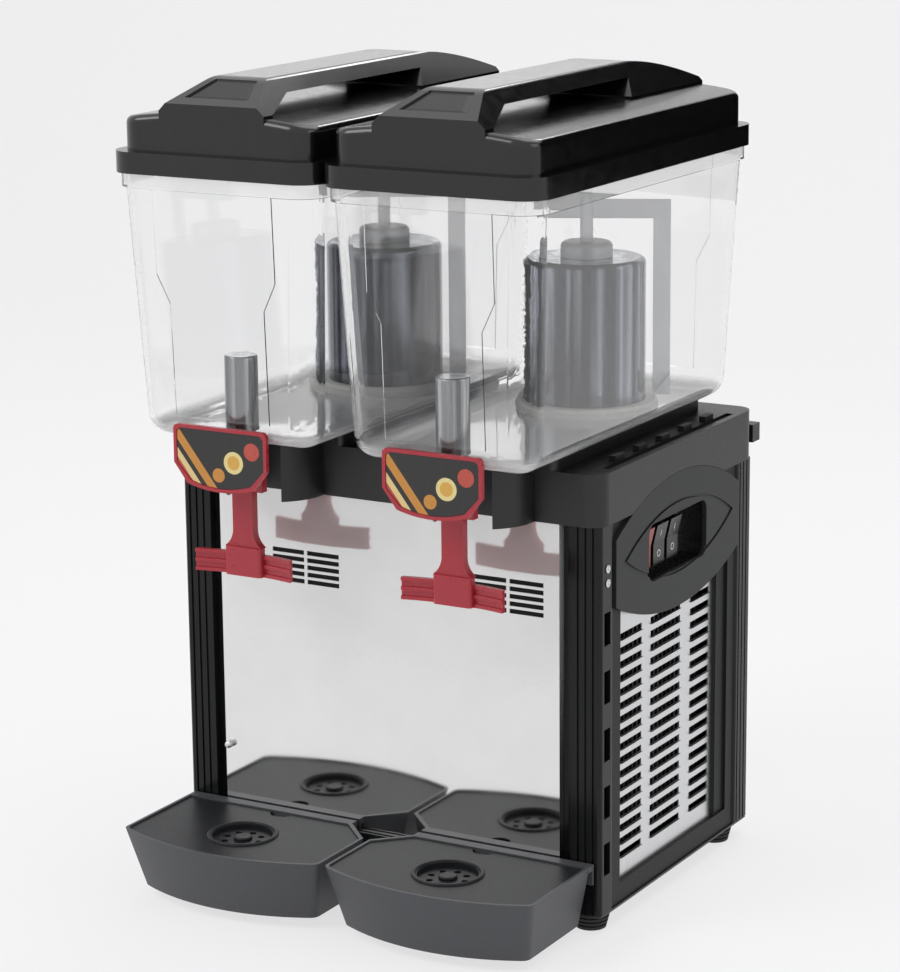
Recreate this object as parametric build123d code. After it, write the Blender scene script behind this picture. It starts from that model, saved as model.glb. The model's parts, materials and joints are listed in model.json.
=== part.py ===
from build123d import *
import os
from math import cos, radians, sin

# Twin bowl refrigerated juice dispenser, millimetres, +Z up, +Y to the back.
# The origin lies on the table under the middle of the outline.

# Cabinet
CABINET_WIDTH = 410.0
CABINET_DEPTH = 296.0
CABINET_FRONT = -90.0
CABINET_HEIGHT = 338.0
FOOT_HEIGHT = 15.0
FOOT_DIAMETER = 34.0
FOOT_TAPER = 4.0
FOOT_RIBS = 3
FOOT_GROOVE = 1.6
FOOT_GROOVE_DEPTH = 1.5
BASE_THICKNESS = 2.0
SHEET = 1.2
FIT = 0.3

# Corner posts
POST_WIDTH = 38.0
POST_DEPTH = 24.0
REAR_POST_DEPTH = 31.0
POST_TONGUE = 10.0
POST_TONGUE_SETBACK = 8.0
POST_WALL = 3.5
POST_CORNER = 4.0
RIB_COUNT = 3
RIB_PITCH = 7.0
RIB_GROOVE = 2.0
RIB_DEPTH = 1.5
NOTCH_HEIGHT = 28.0
NOTCH_WIDTH = 11.0
NOTCH_PITCH = 50.0
NOTCH_COUNT = 5
NOTCH_FIRST = 36.0

# Front panel
PANEL_FLANGE = 12.0
VENT_LENGTH = 32.0
VENT_HEIGHT = 4.0
VENT_PITCH = 6.4
VENT_ROWS = 5
VENT_TOP = 300.0
VENT_BAR = 3.0
VENT_SPACING = 198.0
VENT_OFFSET = 19.5
KNOB_DIAMETER = 6.5
KNOB_LENGTH = 6.0
KNOB_HEIGHT = 114.0
KNOB_INSET = 5.0

# Side frames, grilles and switch bezel
FRAME_THICKNESS = 4.0
FRAME_RECESS = 2.0
SILL_HEIGHT = 20.0
WINDOW_FRONT = 16.0
WINDOW_LENGTH = 188.0
WINDOW_HEIGHT = 242.0
STRIP_WIDTH = 23.0
STRIP_DEPTH = 2.5
GRILLE_LAP = 5.0
LOUVRE_ROWS = 17
LOUVRE_PITCH = 12.0
LOUVRE_HEIGHT = 5.5
LOUVRE_FIRST = 41.0
LOUVRE_STARTS = (24.0, 81.0, 159.0)
LOUVRE_LENGTHS = (40.0, 58.0, 38.0)
LOUVRE_LIP = 2.0
BEZEL_EDGE_LOW = 265.0
BEZEL_EDGE_HIGH = 322.0
BEZEL_LOW = 238.0
BEZEL_HIGH = 356.0
EYE_LENGTH = 216.0
EYE_HEIGHT = 64.0
EYE_GROOVE = 2.4
EYE_GROOVE_DEPTH = 1.4
EYE_CENTRE_HEIGHT = 300.0
SWITCH_FRONT = 61.0
SWITCH_LENGTH = 113.0
SWITCH_LOW = 271.0
SWITCH_HEIGHT = 50.0
SWITCH_CORNER = 10.0
HOUSING_DEPTH = 30.0
HOUSING_RECESS = 12.0
HOUSING_WALL = 2.5
ROCKER_COUNT = 3
ROCKER_PITCH = 26.5
ROCKER_FIRST = 18.0
ROCKER_WIDTH = 21.0
ROCKER_LENGTH = 36.0
ROCKER_RISE = 5.5
ROCKER_DISH = 2.0
ROCKER_DROP = 6.0
ROCKER_TAPER = 3.0
TRUNNION_DIAMETER = 3.0
ROCKER_TILT = 7.0
ROCKER_CLEARANCE = 0.5

# Deck
DECK_HEIGHT = 44.0
DECK_OVERHANG = 2.0
DECK_LIP = 5.0
DECK_REAR_LIP = 2.0
DECK_PLATE = 7.0
DECK_SKIRT = 6.0
DECK_FRONT_SOLID = 30.0
DECK_CORNER = 16.0
SEAT_RISE = 12.0
SEAT_CORNER = 6.0
COLLAR_RADIUS = 45.0
COLLAR_SETOUT = 8.0
TAP_SLOT = 54.0
TAP_SLOT_CORNER = 12.0
CHANNEL_WIDTH = 7.0
CHANNEL_DEPTH = 3.0
CHANNEL_INSET = 6.0
CATCH_COUNT = 5
CATCH_LENGTH = 16.0
CATCH_WIDTH = 6.0
CATCH_HEIGHT = 5.0
SPACER_WIDTH = 15.0
SPACER_LENGTH = 16.0
SPACER_HEIGHT = 16.0
SPACER_DROP = 16.0
SPACER_EDGE = 1.5

# Bowls
BOWL_WIDTH = 196.0
BOWL_GAP = 7.0
BOWL_DEPTH = 403.0
BOWL_OVERHANG = 100.0
BOWL_HEIGHT = 236.0
BOWL_WALL = 3.5
BOWL_FLOOR = 4.0
BOWL_DRAFT = 11.0
BOWL_CORNER = 22.0
BOWL_BOTTOM_RADIUS = 20.0
RIM_HEIGHT = 25.0
RIM_STEP = 2.0
FLUTE_RAISE = 1.4
FLUTE_WIDE = 116.0
FLUTE_NARROW = 92.0
FLUTE_STEP_HIGH = 140.0
FLUTE_STEP_LOW = 116.0

# Lids
LID_SKIRT = 2.5
LID_CLEARANCE = 0.5
LID_DROP = 13.0
LID_PLATE = 5.0
LID_STEP = 8.0
LID_CORNER = 20.0
LID_WALL = 3.0
LID_EDGE_RISE = 27.0
LID_EDGE_RADIUS = 6.0
LID_BOW = 7.5
GRIP_WIDTH = 102.0
GRIP_TOP_WIDTH = 52.0
GRIP_RISE = 60.0
GRIP_FOOT_RISE = 41.0
GRIP_TAIL_RISE = 38.0
GRIP_KNEE = 44.0
GRIP_CREST_END = 275.0
GRIP_BEND = 40.0
GRIP_EDGE = 6.0
GRIP_THICKNESS = 12.0
GAP_START = 14.0
GAP_END = 254.0
GAP_BEND = 12.0
GAP_RAMP = 20.0
LABEL_RECESS_WIDTH = 64.0
LABEL_RECESS_TOP_WIDTH = 40.0
LABEL_RECESS_LENGTH = 30.0
LABEL_RECESS_FRONT = 10.0
LABEL_RECESS_DEPTH = 1.5

# Evaporators, seals, drives and agitators
EVAPORATOR_DIAMETER = 102.0
EVAPORATOR_HEIGHT = 147.0
EVAPORATOR_SETBACK = 172.0
EVAPORATOR_EDGE = 5.0
EVAPORATOR_WALL = 3.0
GUIDE_DIAMETER = 20.0
SPIGOT_DIAMETER = 40.0
SPIGOT_LENGTH = 14.0
SEAL_WIDTH = 5.5
SEAL_LIP = 5.0
SEAL_LIP_HEIGHT = 8.0
SHAFT_DIAMETER = 8.0
RUNNING_FIT = 0.06
SHAFT_ABOVE = 12.0
SHAFT_BELOW = 18.0
HUB_DIAMETER = 45.0
HUB_HEIGHT = 13.0
STEM_DIAMETER = 11.0
STEM_LENGTH = 36.0
ARM_HEIGHT = 16.0
ARM_THICKNESS = 5.0
PADDLE_ANGLE = 25.0
PADDLE_WIDTH = 15.0
PADDLE_GAP = 6.0
PADDLE_THICKNESS = 3.0
PADDLE_FOOT = 9.0
PADDLE_CLEARANCE = 12.0
COUNTER_ARM = 34.0
GEARBOX_WIDTH = 72.0
GEARBOX_DEPTH = 64.0
GEARBOX_HEIGHT = 32.0
GEARBOX_PILLAR = 5.0
PILLAR_EDGE = 2.0
MOTOR_DIAMETER = 50.0
MOTOR_LENGTH = 48.0

# Taps and levers
TAP_SETOUT = 58.0
SPOUT_DIAMETER = 28.0
SPOUT_DROP = 24.0
OUTLET_DIAMETER = 16.0
NOZZLE_OFFSET = 15.0
NOZZLE_DIAMETER = 14.0
NOZZLE_BORE = 9.0
NOZZLE_HEIGHT = 18.0
NOZZLE_DROP = 6.0
PIVOT_DROP = 14.0
PIN_DIAMETER = 6.0
LEVER_RANGE = 18.0
PISTON_DIAMETER = 28.0
PISTON_HEIGHT = 64.0
PISTON_WALL = 1.5
PISTON_STEM = 5.0
PISTON_FOOT = 13.0
PISTON_FOOT_HEIGHT = 2.0
SEAT_GAP = 0.3
SEAT_DIAMETER = 22.0
SEAT_HEIGHT = 3.0
CAM_LENGTH = 6.5
CAM_WIDTH = 6.0
ARM_GAP = 1.5
LEVER_ARM = 4.5
LEVER_ARM_HEIGHT = 14.0
PLATE_SETOUT = 91.0
PLATE_THICKNESS = 4.0
PLATE_WIDTH = 92.0
PLATE_NECK = 66.0
PLATE_TOP = 41.0
PLATE_SHOULDER = 8.0
PLATE_BOTTOM = 14.0
PLATE_CORNER = 5.0
PLATE_RIM = 3.0
PLATE_RIM_DEPTH = 1.6
CARD_THICKNESS = 0.8
STEM_WIDTH = 20.0
STEM_DEPTH = 8.0
STEM_SHIFT = 1.0
STEM_FLARE_SHARE = 0.3
STEM_FLARE_DROP = 2.0
STEM_BOTTOM = 52.0
WEB_DROP = 13.0
WEB_HEIGHT = 6.0
PAD_TOP = 68.0
PAD_HEIGHT = 25.0
PAD_WIDTH = 36.0
PAD_DEPTH = 10.0
WING_SPAN = 95.0
WING_TOP = 74.0
WING_HEIGHT = 19.0
WING_THICKNESS = 3.0
WING_SWEEP = 6.0
WING_RIBS = 3
WING_RIB_HEIGHT = 3.0
WING_RIB_DEPTH = 1.5

# Drip trays
TRAY_GAP = 6.0
TRAY_SIDE_INSET = 5.0
TRAY_FRONT = 134.0
TRAY_BOW = 22.0
TRAY_TOP = 64.0
TRAY_BOTTOM = 10.0
TRAY_WALL = 2.5
TRAY_SIDE_TAPER = 11.0
TRAY_FRONT_TAPER = 14.0
TRAY_CORNER = 8.0
TRAY_CHAMFER = 28.0
TRAY_REAR_GAP = 10.0
TRAY_LIP = 2.4
TRAY_LIP_DROP = 18.0
COVER_DROP = 1.5
COVER_THICKNESS = 3.0
COVER_GAP = 0.4
LEDGE_WIDTH = 4.0
LEDGE_HEIGHT = 4.0
ROSETTE_SETOUT = 75.0
ROSETTE_DIAMETER = 58.0
ROSETTE_DEPTH = 4.0
ROSETTE_BEAD = 2.0
FINGER_NOTCH = 20.0
DRAIN_COUNT = 8
DRAIN_DIAMETER = 6.0
DRAIN_RING = 32.0
BOSS_DIAMETER = 16.0
HANGER_SHEET = 2.0
HANGER_SLOT = 3.0
HANGER_LOW = 38.0
HANGER_HIGH = 56.0

# Cooling unit and electrics
COMPRESSOR_DIAMETER = 120.0
COMPRESSOR_HEIGHT = 120.0
COMPRESSOR_INSET = 110.0
COMPRESSOR_SETBACK = 175.0
LUG_THICKNESS = 3.0
MOUNT_DIAMETER = 20.0
MOUNT_HEIGHT = 12.0
MOUNT_RADIUS = 70.0
MOUNT_COUNT = 3
PORT_DIAMETER = 9.0
PORT_HEIGHT = 14.0
PORT_SPREAD = 40.0
CONDENSER_THICKNESS = 30.0
CONDENSER_LENGTH = 180.0
CONDENSER_HEIGHT = 236.0
CONDENSER_GAP = 10.0
CONDENSER_FRONT = 45.0
FIN_COUNT = 22
FIN_DEPTH = 8.0
FIN_GAP_SHARE = 0.6
SHROUD_DEPTH = 8.0
SHROUD_PLATE = 2.0
FAN_DIAMETER = 150.0
FAN_CLEARANCE = 5.0
FAN_BLADES = 5
FAN_HUB_DIAMETER = 40.0
FAN_HUB_LENGTH = 16.0
FAN_GAP = 8.0
BLADE_PITCH_ANGLE = 28.0
BLADE_THICKNESS = 2.0
BLADE_ROOT = 2.0
BLADE_CHORD_SHARE = 0.8
FAN_MOTOR_DIAMETER = 56.0
FAN_MOTOR_LENGTH = 38.0
FAN_SPINDLE = 6.0
BRACKET_WIDTH = 14.0
DRIER_DIAMETER = 22.0
DRIER_LENGTH = 90.0
DRIER_INSET = 185.0
DRIER_SETBACK = 60.0
TUBE_DIAMETER = 7.0
TUBE_SOCKET = 2.0
TUBE_BEND = 14.0
BOX_WIDTH = 60.0
BOX_LENGTH = 66.0
BOX_HEIGHT = 110.0
BOX_INSET = 45.0
BOX_SETBACK = 62.0
BOX_LID = 3.0
BOX_GROOVE = 1.0
THERMOSTAT_SIZE = 34.0
THERMOSTAT_HEIGHT = 24.0
THERMOSTAT_KNOB = 14.0
THERMOSTAT_KNOB_HEIGHT = 10.0
GLAND_DIAMETER = 20.0
GLAND_LENGTH = 12.0
GLAND_BORE = 9.0
GLAND_SHOULDER = 2.0
GLAND_INSET = 95.0
GLAND_HEIGHT = 70.0
REAR_LOUVRES = 14
REAR_LOUVRE_LENGTH = 120.0
REAR_LOUVRE_HEIGHT = 5.0
REAR_LOUVRE_PITCH = 12.0
REAR_LOUVRE_FIRST = 90.0
SCREW_DIAMETER = 7.0
SCREW_HEAD = 1.6
SCREW_HIGH = 316.0
SCREW_LOW = 304.0

# Places worked out from the sizes above
SIDE = CABINET_WIDTH / 2
CABINET_REAR = CABINET_FRONT + CABINET_DEPTH
BASE_TOP = FOOT_HEIGHT + BASE_THICKNESS
DECK_LOW = FOOT_HEIGHT + CABINET_HEIGHT
DECK_TOP = DECK_LOW + DECK_HEIGHT
DECK_SIDE = SIDE + DECK_OVERHANG
PLATE_UNDER = DECK_TOP - DECK_PLATE
POST_INNER = SIDE - POST_WIDTH
FRAME_OUT = SIDE - FRAME_RECESS
FRAME_IN = FRAME_OUT - FRAME_THICKNESS
FRAME_FRONT = CABINET_FRONT + POST_DEPTH
FRAME_REAR = CABINET_REAR - REAR_POST_DEPTH
WINDOW_START = FRAME_FRONT + WINDOW_FRONT
SILL_TOP = FOOT_HEIGHT + SILL_HEIGHT
BOWL_PITCH = BOWL_WIDTH + BOWL_GAP
EVAPORATOR_Y = CABINET_FRONT + EVAPORATOR_SETBACK
EVAPORATOR_TOP = DECK_TOP + EVAPORATOR_HEIGHT
TAP_Y = CABINET_FRONT - TAP_SETOUT
BOWL_SEAT = DECK_TOP + SEAT_RISE
FLOOR_TOP = BOWL_SEAT + BOWL_FLOOR
RIM_TOP = BOWL_SEAT + BOWL_HEIGHT
BOWL_Y = CABINET_FRONT - BOWL_OVERHANG + BOWL_DEPTH / 2
PIVOT_Z = DECK_TOP - PIVOT_DROP
SWITCH_START = FRAME_FRONT + SWITCH_FRONT
GEARBOX_TOP = DECK_TOP - SPIGOT_LENGTH
COMPRESSOR_X = COMPRESSOR_INSET - SIDE
DRIER_X = SIDE - DRIER_INSET
BOX_X = BOX_INSET - SIDE
GLAND_X = GLAND_INSET - SIDE
GLAND_SPIGOT = GLAND_DIAMETER - 2 * GLAND_SHOULDER


def block(x0, x1, y0, y1, z0, z1):
    """Box between two corners."""
    centre = Pos((x0 + x1) / 2, (y0 + y1) / 2, (z0 + z1) / 2)
    return centre * Box(x1 - x0, y1 - y0, z1 - z0)


def rod(x, y, z0, z1, diameter):
    """Upright cylinder."""
    return Pos(x, y, (z0 + z1) / 2) * Cylinder(diameter / 2, z1 - z0)


def cross_rod(x0, x1, y, z, diameter):
    """Cylinder along X."""
    return Pos((x0 + x1) / 2, y, z) * Rot(0, 90, 0) * Cylinder(diameter / 2, x1 - x0)


def plan(width, depth, radius, y, z0, z1):
    """Rounded rectangle raised from z0 to z1."""
    return Pos(0, y, z0) * extrude(RectangleRounded(width, depth, radius), z1 - z0)


def mirrored(shape):
    """The same piece on the other side of the middle plane."""
    return mirror(shape, Plane.YZ)


def at_bowl(shape, hand):
    """A piece drawn on the middle plane, moved to one bowl."""
    return Pos(hand * BOWL_PITCH / 2, 0, 0) * shape


# Cabinet shell
def base_pan():
    half = SIDE - FIT
    pan = block(-half, half, CABINET_FRONT + FIT, CABINET_REAR - FIT, FOOT_HEIGHT, BASE_TOP)
    return fillet(pan.edges().filter_by(Axis.Z), POST_CORNER)


def feet():
    inset_x = SIDE - POST_WIDTH / 2
    rows = (CABINET_FRONT + POST_DEPTH - FOOT_TAPER, CABINET_REAR - REAR_POST_DEPTH)
    top = FOOT_DIAMETER / 2
    profile = Polyline((0, 0), (top - FOOT_TAPER, 0), (top, FOOT_HEIGHT), (0, FOOT_HEIGHT), close=True)
    foot = revolve(Plane.XZ * make_face(profile), Axis.Z)
    for rib in range(FOOT_RIBS):
        low = FOOT_HEIGHT * (rib + 1) / (FOOT_RIBS + 1) - FOOT_GROOVE / 2
        radius = top - FOOT_TAPER * (1 - low / FOOT_HEIGHT) - FOOT_GROOVE_DEPTH
        high = low + FOOT_GROOVE
        foot -= rod(0, 0, low, high, 2 * FOOT_DIAMETER) - rod(0, 0, low, high, 2 * radius)
    return [Pos(x, y, 0) * foot for x in (-inset_x, inset_x) for y in rows]


def post_shell(y0, y1):
    """Hollow ribbed extrusion with a set-back tongue on its inner side."""
    x0 = POST_INNER + POST_TONGUE
    outer = block(x0, SIDE, y0, y1, BASE_TOP, DECK_LOW)
    outer = fillet(outer.edges().filter_by(Axis.Z).sort_by(Axis.X)[-2:], POST_CORNER)
    core = block(x0 + POST_WALL, SIDE - POST_WALL, y0 + POST_WALL, y1 - POST_WALL, BASE_TOP, DECK_LOW)
    return outer - core


def notches():
    wall = 2 * POST_WALL
    middle = CABINET_FRONT + POST_DEPTH / 2
    cuts = []
    for row in range(NOTCH_COUNT):
        low = FOOT_HEIGHT + NOTCH_FIRST + row * NOTCH_PITCH
        y0 = middle - NOTCH_WIDTH / 2
        cuts.append(block(SIDE - wall, SIDE + wall, y0, y0 + NOTCH_WIDTH, low, low + NOTCH_HEIGHT))
    return cuts


def front_post():
    shell = post_shell(CABINET_FRONT, FRAME_FRONT)
    start = POST_INNER + POST_TONGUE + RIB_PITCH - RIB_GROOVE / 2
    for rib in range(RIB_COUNT):
        x = start + rib * RIB_PITCH
        groove = block(x, x + RIB_GROOVE, CABINET_FRONT, CABINET_FRONT + RIB_DEPTH, BASE_TOP, DECK_LOW)
        shell -= groove
    tongue_front = CABINET_FRONT + POST_TONGUE_SETBACK
    tongue = block(POST_INNER, POST_INNER + POST_TONGUE, tongue_front, FRAME_FRONT, BASE_TOP, DECK_LOW)
    return (shell + tongue) - notches()


def rear_post():
    shell = post_shell(FRAME_REAR, CABINET_REAR)
    for rib in range(RIB_COUNT):
        y = FRAME_REAR + RIB_PITCH * (rib + 1) - RIB_GROOVE / 2
        shell -= block(SIDE - RIB_DEPTH, SIDE, y, y + RIB_GROOVE, BASE_TOP, DECK_LOW)
    tongue_rear = CABINET_REAR - POST_TONGUE_SETBACK
    tongue = block(POST_INNER, POST_INNER + POST_TONGUE, FRAME_REAR, tongue_rear, BASE_TOP, DECK_LOW)
    return shell + tongue


def front_panel():
    half = POST_INNER - FIT
    y = CABINET_FRONT
    panel = block(-half, half, y, y + SHEET, BASE_TOP, DECK_LOW)
    for x in (-half, half - SHEET):
        panel += block(x, x + SHEET, y, y + PANEL_FLANGE, BASE_TOP, DECK_LOW)
    for hand in (-1, 1):
        middle = hand * VENT_SPACING / 2 + VENT_OFFSET
        for x in (middle - VENT_BAR / 2 - VENT_LENGTH, middle + VENT_BAR / 2):
            for row in range(VENT_ROWS):
                top = VENT_TOP - row * VENT_PITCH
                panel -= block(x, x + VENT_LENGTH, y, y + SHEET, top - VENT_HEIGHT, top)
    return panel


def window_cut(x0, x1):
    """Space of the grille window in a side frame."""
    return block(x0, x1, WINDOW_START, WINDOW_START + WINDOW_LENGTH, SILL_TOP, SILL_TOP + WINDOW_HEIGHT)


def bezel_outline(x0, x1, grow):
    """Barrel outline between the posts, bowed at its top and its bottom."""
    front = FRAME_FRONT + FIT - grow
    rear = FRAME_REAR - FIT + grow
    middle = (front + rear) / 2
    low = FOOT_HEIGHT + BEZEL_EDGE_LOW - grow
    high = FOOT_HEIGHT + BEZEL_EDGE_HIGH + grow
    outline = Curve() + [
        ThreePointArc((front, low), (middle, FOOT_HEIGHT + BEZEL_LOW - grow), (rear, low)),
        Line((rear, low), (rear, high)),
        ThreePointArc((rear, high), (middle, FOOT_HEIGHT + BEZEL_HIGH + grow), (front, high)),
        Line((front, high), (front, low)),
    ]
    return Pos(x0, 0, 0) * extrude(Plane.YZ * make_face(outline), x1 - x0)


def switch_window(x0, x1, grow):
    width = SWITCH_LENGTH + 2 * grow
    height = SWITCH_HEIGHT + 2 * grow
    centre_y = SWITCH_START + SWITCH_LENGTH / 2
    centre_z = FOOT_HEIGHT + SWITCH_LOW + SWITCH_HEIGHT / 2
    face = Plane.YZ * Pos(centre_y, centre_z) * RectangleRounded(width, height, SWITCH_CORNER)
    return Pos(x0, 0, 0) * extrude(face, x1 - x0)


def side_frame():
    frame = block(FRAME_IN, FRAME_OUT, FRAME_FRONT, FRAME_REAR, BASE_TOP, DECK_LOW)
    frame -= window_cut(FRAME_IN, FRAME_OUT)
    strip_front = WINDOW_START + WINDOW_LENGTH + FIT
    strip_top = SILL_TOP + WINDOW_HEIGHT
    strip = block(FRAME_OUT - STRIP_DEPTH, FRAME_OUT, strip_front, strip_front + STRIP_WIDTH, SILL_TOP, strip_top)
    return frame - strip


def right_side_frame():
    return side_frame() - switch_window(FRAME_IN, FRAME_OUT, HOUSING_WALL)


def side_grille():
    """Steel sheet behind the frame, with pressed louvres in three columns."""
    x0 = FRAME_IN - SHEET
    y0 = WINDOW_START - GRILLE_LAP
    y1 = WINDOW_START + WINDOW_LENGTH + GRILLE_LAP
    top = FOOT_HEIGHT + BEZEL_EDGE_LOW - GRILLE_LAP
    sheet = block(x0, FRAME_IN, y0, y1, SILL_TOP - GRILLE_LAP, top)
    slots = []
    lips = []
    for start, length in zip(LOUVRE_STARTS, LOUVRE_LENGTHS):
        y = FRAME_FRONT + start
        for row in range(LOUVRE_ROWS):
            low = FOOT_HEIGHT + LOUVRE_FIRST + row * LOUVRE_PITCH - LOUVRE_HEIGHT / 2
            slots.append(block(x0, FRAME_IN, y, y + length, low, low + LOUVRE_HEIGHT))
            lip = Polyline((FRAME_IN, low - SHEET), (FRAME_IN + LOUVRE_LIP, low),
                           (FRAME_IN, low), close=True)
            lips.append(Pos(0, y + length, 0) * extrude(Plane.XZ * make_face(lip), length))
    return (sheet - slots) + lips


def eye_ring(x0, x1):
    """Groove round the switches: two bows that meet in points."""
    middle_y = (FRAME_FRONT + FRAME_REAR) / 2
    middle_z = FOOT_HEIGHT + EYE_CENTRE_HEIGHT

    def lens(length, height):
        start = (middle_y - length / 2, middle_z)
        end = (middle_y + length / 2, middle_z)
        bows = Curve() + [
            ThreePointArc(start, (middle_y, middle_z + height / 2), end),
            ThreePointArc(end, (middle_y, middle_z - height / 2), start),
        ]
        return extrude(Plane.YZ * make_face(bows), x1 - x0)

    inner_length = EYE_LENGTH - 6 * EYE_GROOVE
    ring = lens(EYE_LENGTH, EYE_HEIGHT) - lens(inner_length, EYE_HEIGHT - 2 * EYE_GROOVE)
    return Pos(x0, 0, 0) * ring


def switch_bezel():
    bezel = bezel_outline(FRAME_OUT, DECK_SIDE, 0)
    bezel -= eye_ring(DECK_SIDE - EYE_GROOVE_DEPTH, DECK_SIDE)
    return bezel - switch_window(FRAME_OUT, DECK_SIDE, 0)


def rocker_places():
    """Y of each rocker's middle."""
    return [SWITCH_START + ROCKER_FIRST + n * ROCKER_PITCH for n in range(ROCKER_COUNT)]


ROCKER_FACE = FRAME_OUT - HOUSING_RECESS
ROCKER_PIVOT_X = ROCKER_FACE - ROCKER_DROP / 2
ROCKER_Z = FOOT_HEIGHT + SWITCH_LOW + SWITCH_HEIGHT / 2


def switch_housing():
    """Black box behind the bezel, with a well for each rocker."""
    body = switch_window(FRAME_OUT - HOUSING_DEPTH, FRAME_OUT, HOUSING_WALL - FIT)
    body -= switch_window(ROCKER_FACE, FRAME_OUT, 0)
    well_x = ROCKER_FACE - ROCKER_DROP - ROCKER_RISE
    half_width = ROCKER_WIDTH / 2 + ROCKER_CLEARANCE
    half_length = ROCKER_LENGTH / 2 + ROCKER_CLEARANCE
    for y in rocker_places():
        body -= block(well_x, ROCKER_FACE, y - half_width, y + half_width,
                      ROCKER_Z - half_length, ROCKER_Z + half_length)
        body -= pivot_stub(y, 2 * RUNNING_FIT)
    return body


def pivot_stub(y, grow):
    """The rocker's trunnion, along Y, that runs in the walls of its well."""
    length = ROCKER_WIDTH + 2 * ROCKER_CLEARANCE + HOUSING_WALL + grow
    return Pos(ROCKER_PIVOT_X, y, ROCKER_Z) * Rot(90, 0, 0) * Cylinder((TRUNNION_DIAMETER + grow) / 2, length)


def rocker(y):
    """Dished switch cap, tipped to its off position."""
    end = ROCKER_LENGTH / 2
    front = ROCKER_DROP / 2 + ROCKER_RISE
    back = -ROCKER_DROP / 2
    taper = ROCKER_LENGTH / 2 - ROCKER_TAPER
    face = make_face(Polyline((front, -end), (front - ROCKER_DISH, 0), (front, end), (back, taper),
                              (back, -taper), close=True))
    cap = Pos(0, ROCKER_WIDTH / 2, 0) * extrude(Plane.XZ * face, ROCKER_WIDTH)
    cap = Pos(ROCKER_PIVOT_X, y, ROCKER_Z) * Rot(0, ROCKER_TILT, 0) * cap
    return cap + pivot_stub(y, 0)


def rear_panel():
    half = POST_INNER - FIT
    y = CABINET_REAR - POST_TONGUE_SETBACK
    panel = block(-half, half, y - PANEL_FLANGE, y, BASE_TOP, DECK_LOW)
    panel -= block(-half + SHEET, half - SHEET, y - PANEL_FLANGE, y - SHEET, BASE_TOP, DECK_LOW)
    for x in (-half / 2, half / 2):
        for row in range(REAR_LOUVRES):
            low = FOOT_HEIGHT + REAR_LOUVRE_FIRST + row * REAR_LOUVRE_PITCH
            x0 = x - REAR_LOUVRE_LENGTH / 2
            panel -= block(x0, x0 + REAR_LOUVRE_LENGTH, y - SHEET, y, low, low + REAR_LOUVRE_HEIGHT)
    return panel - gland_bore(GLAND_SPIGOT)


def gland_bore(diameter):
    y = CABINET_REAR - POST_TONGUE_SETBACK
    hole = Cylinder(diameter / 2, 4 * GLAND_LENGTH)
    return Pos(GLAND_X, y, FOOT_HEIGHT + GLAND_HEIGHT) * Rot(90, 0, 0) * hole


def cable_gland():
    """Collar on the rear panel for the mains lead, with its spigot through the sheet."""
    y = CABINET_REAR - POST_TONGUE_SETBACK
    place = Pos(GLAND_X, y, FOOT_HEIGHT + GLAND_HEIGHT) * Rot(-90, 0, 0)
    collar = Pos(0, 0, GLAND_LENGTH / 2) * Cylinder(GLAND_DIAMETER / 2, GLAND_LENGTH)
    collar = chamfer(collar.edges().group_by(Axis.Z)[-1], GLAND_SHOULDER)
    spigot = Pos(0, 0, -SHEET) * Cylinder(GLAND_SPIGOT / 2 - RUNNING_FIT, 2 * SHEET)
    bore = Cylinder(GLAND_BORE / 2, 4 * GLAND_LENGTH)
    return place * (collar + spigot - bore)


def top_deck():
    """Black moulding that carries the bowls, with a horseshoe collar round each tap."""
    front = CABINET_FRONT - DECK_LIP
    rear = CABINET_REAR + DECK_REAR_LIP
    depth = rear - front
    deck = plan(2 * DECK_SIDE, depth, DECK_CORNER, (front + rear) / 2, DECK_LOW, DECK_TOP)
    collar_y = CABINET_FRONT - COLLAR_SETOUT
    for hand in (-1, 1):
        deck += rod(hand * BOWL_PITCH / 2, collar_y, DECK_LOW, BOWL_SEAT, 2 * COLLAR_RADIUS)
        deck += at_bowl(bowl_seat(), hand)
    for hand in (-1, 1):
        deck -= tap_slot(hand)
    inside = SIDE - DECK_SKIRT
    deck -= block(-inside, inside, CABINET_FRONT + DECK_FRONT_SOLID, CABINET_REAR - DECK_SKIRT,
                  DECK_LOW, PLATE_UNDER)
    for hand in (-1, 1):
        deck -= rod(hand * BOWL_PITCH / 2, EVAPORATOR_Y, PLATE_UNDER, DECK_TOP, SPIGOT_DIAMETER + 2 * FIT)
        deck -= rod(hand * BOWL_PITCH / 2, EVAPORATOR_Y, DECK_TOP, BOWL_SEAT, seal_bore())
    for hand in (-1, 1):
        x0 = hand * (DECK_SIDE - CHANNEL_INSET - CHANNEL_WIDTH / 2) - CHANNEL_WIDTH / 2
        deck -= block(x0, x0 + CHANNEL_WIDTH, CABINET_FRONT + POST_DEPTH, FRAME_REAR,
                      DECK_TOP - CHANNEL_DEPTH, DECK_TOP)
        deck += catches(hand)
    return deck - bezel_outline(FRAME_OUT, DECK_SIDE, FIT)


def bowl_seat():
    """Raised platform under the flat of a bowl, on the middle plane."""
    inset = RIM_STEP + BOWL_DRAFT + BOWL_BOTTOM_RADIUS
    front = CABINET_FRONT - DECK_LIP
    rear = BOWL_Y + BOWL_DEPTH / 2 - inset
    return plan(BOWL_WIDTH - 2 * inset, rear - front, SEAT_CORNER, (front + rear) / 2, DECK_TOP, BOWL_SEAT)


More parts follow.
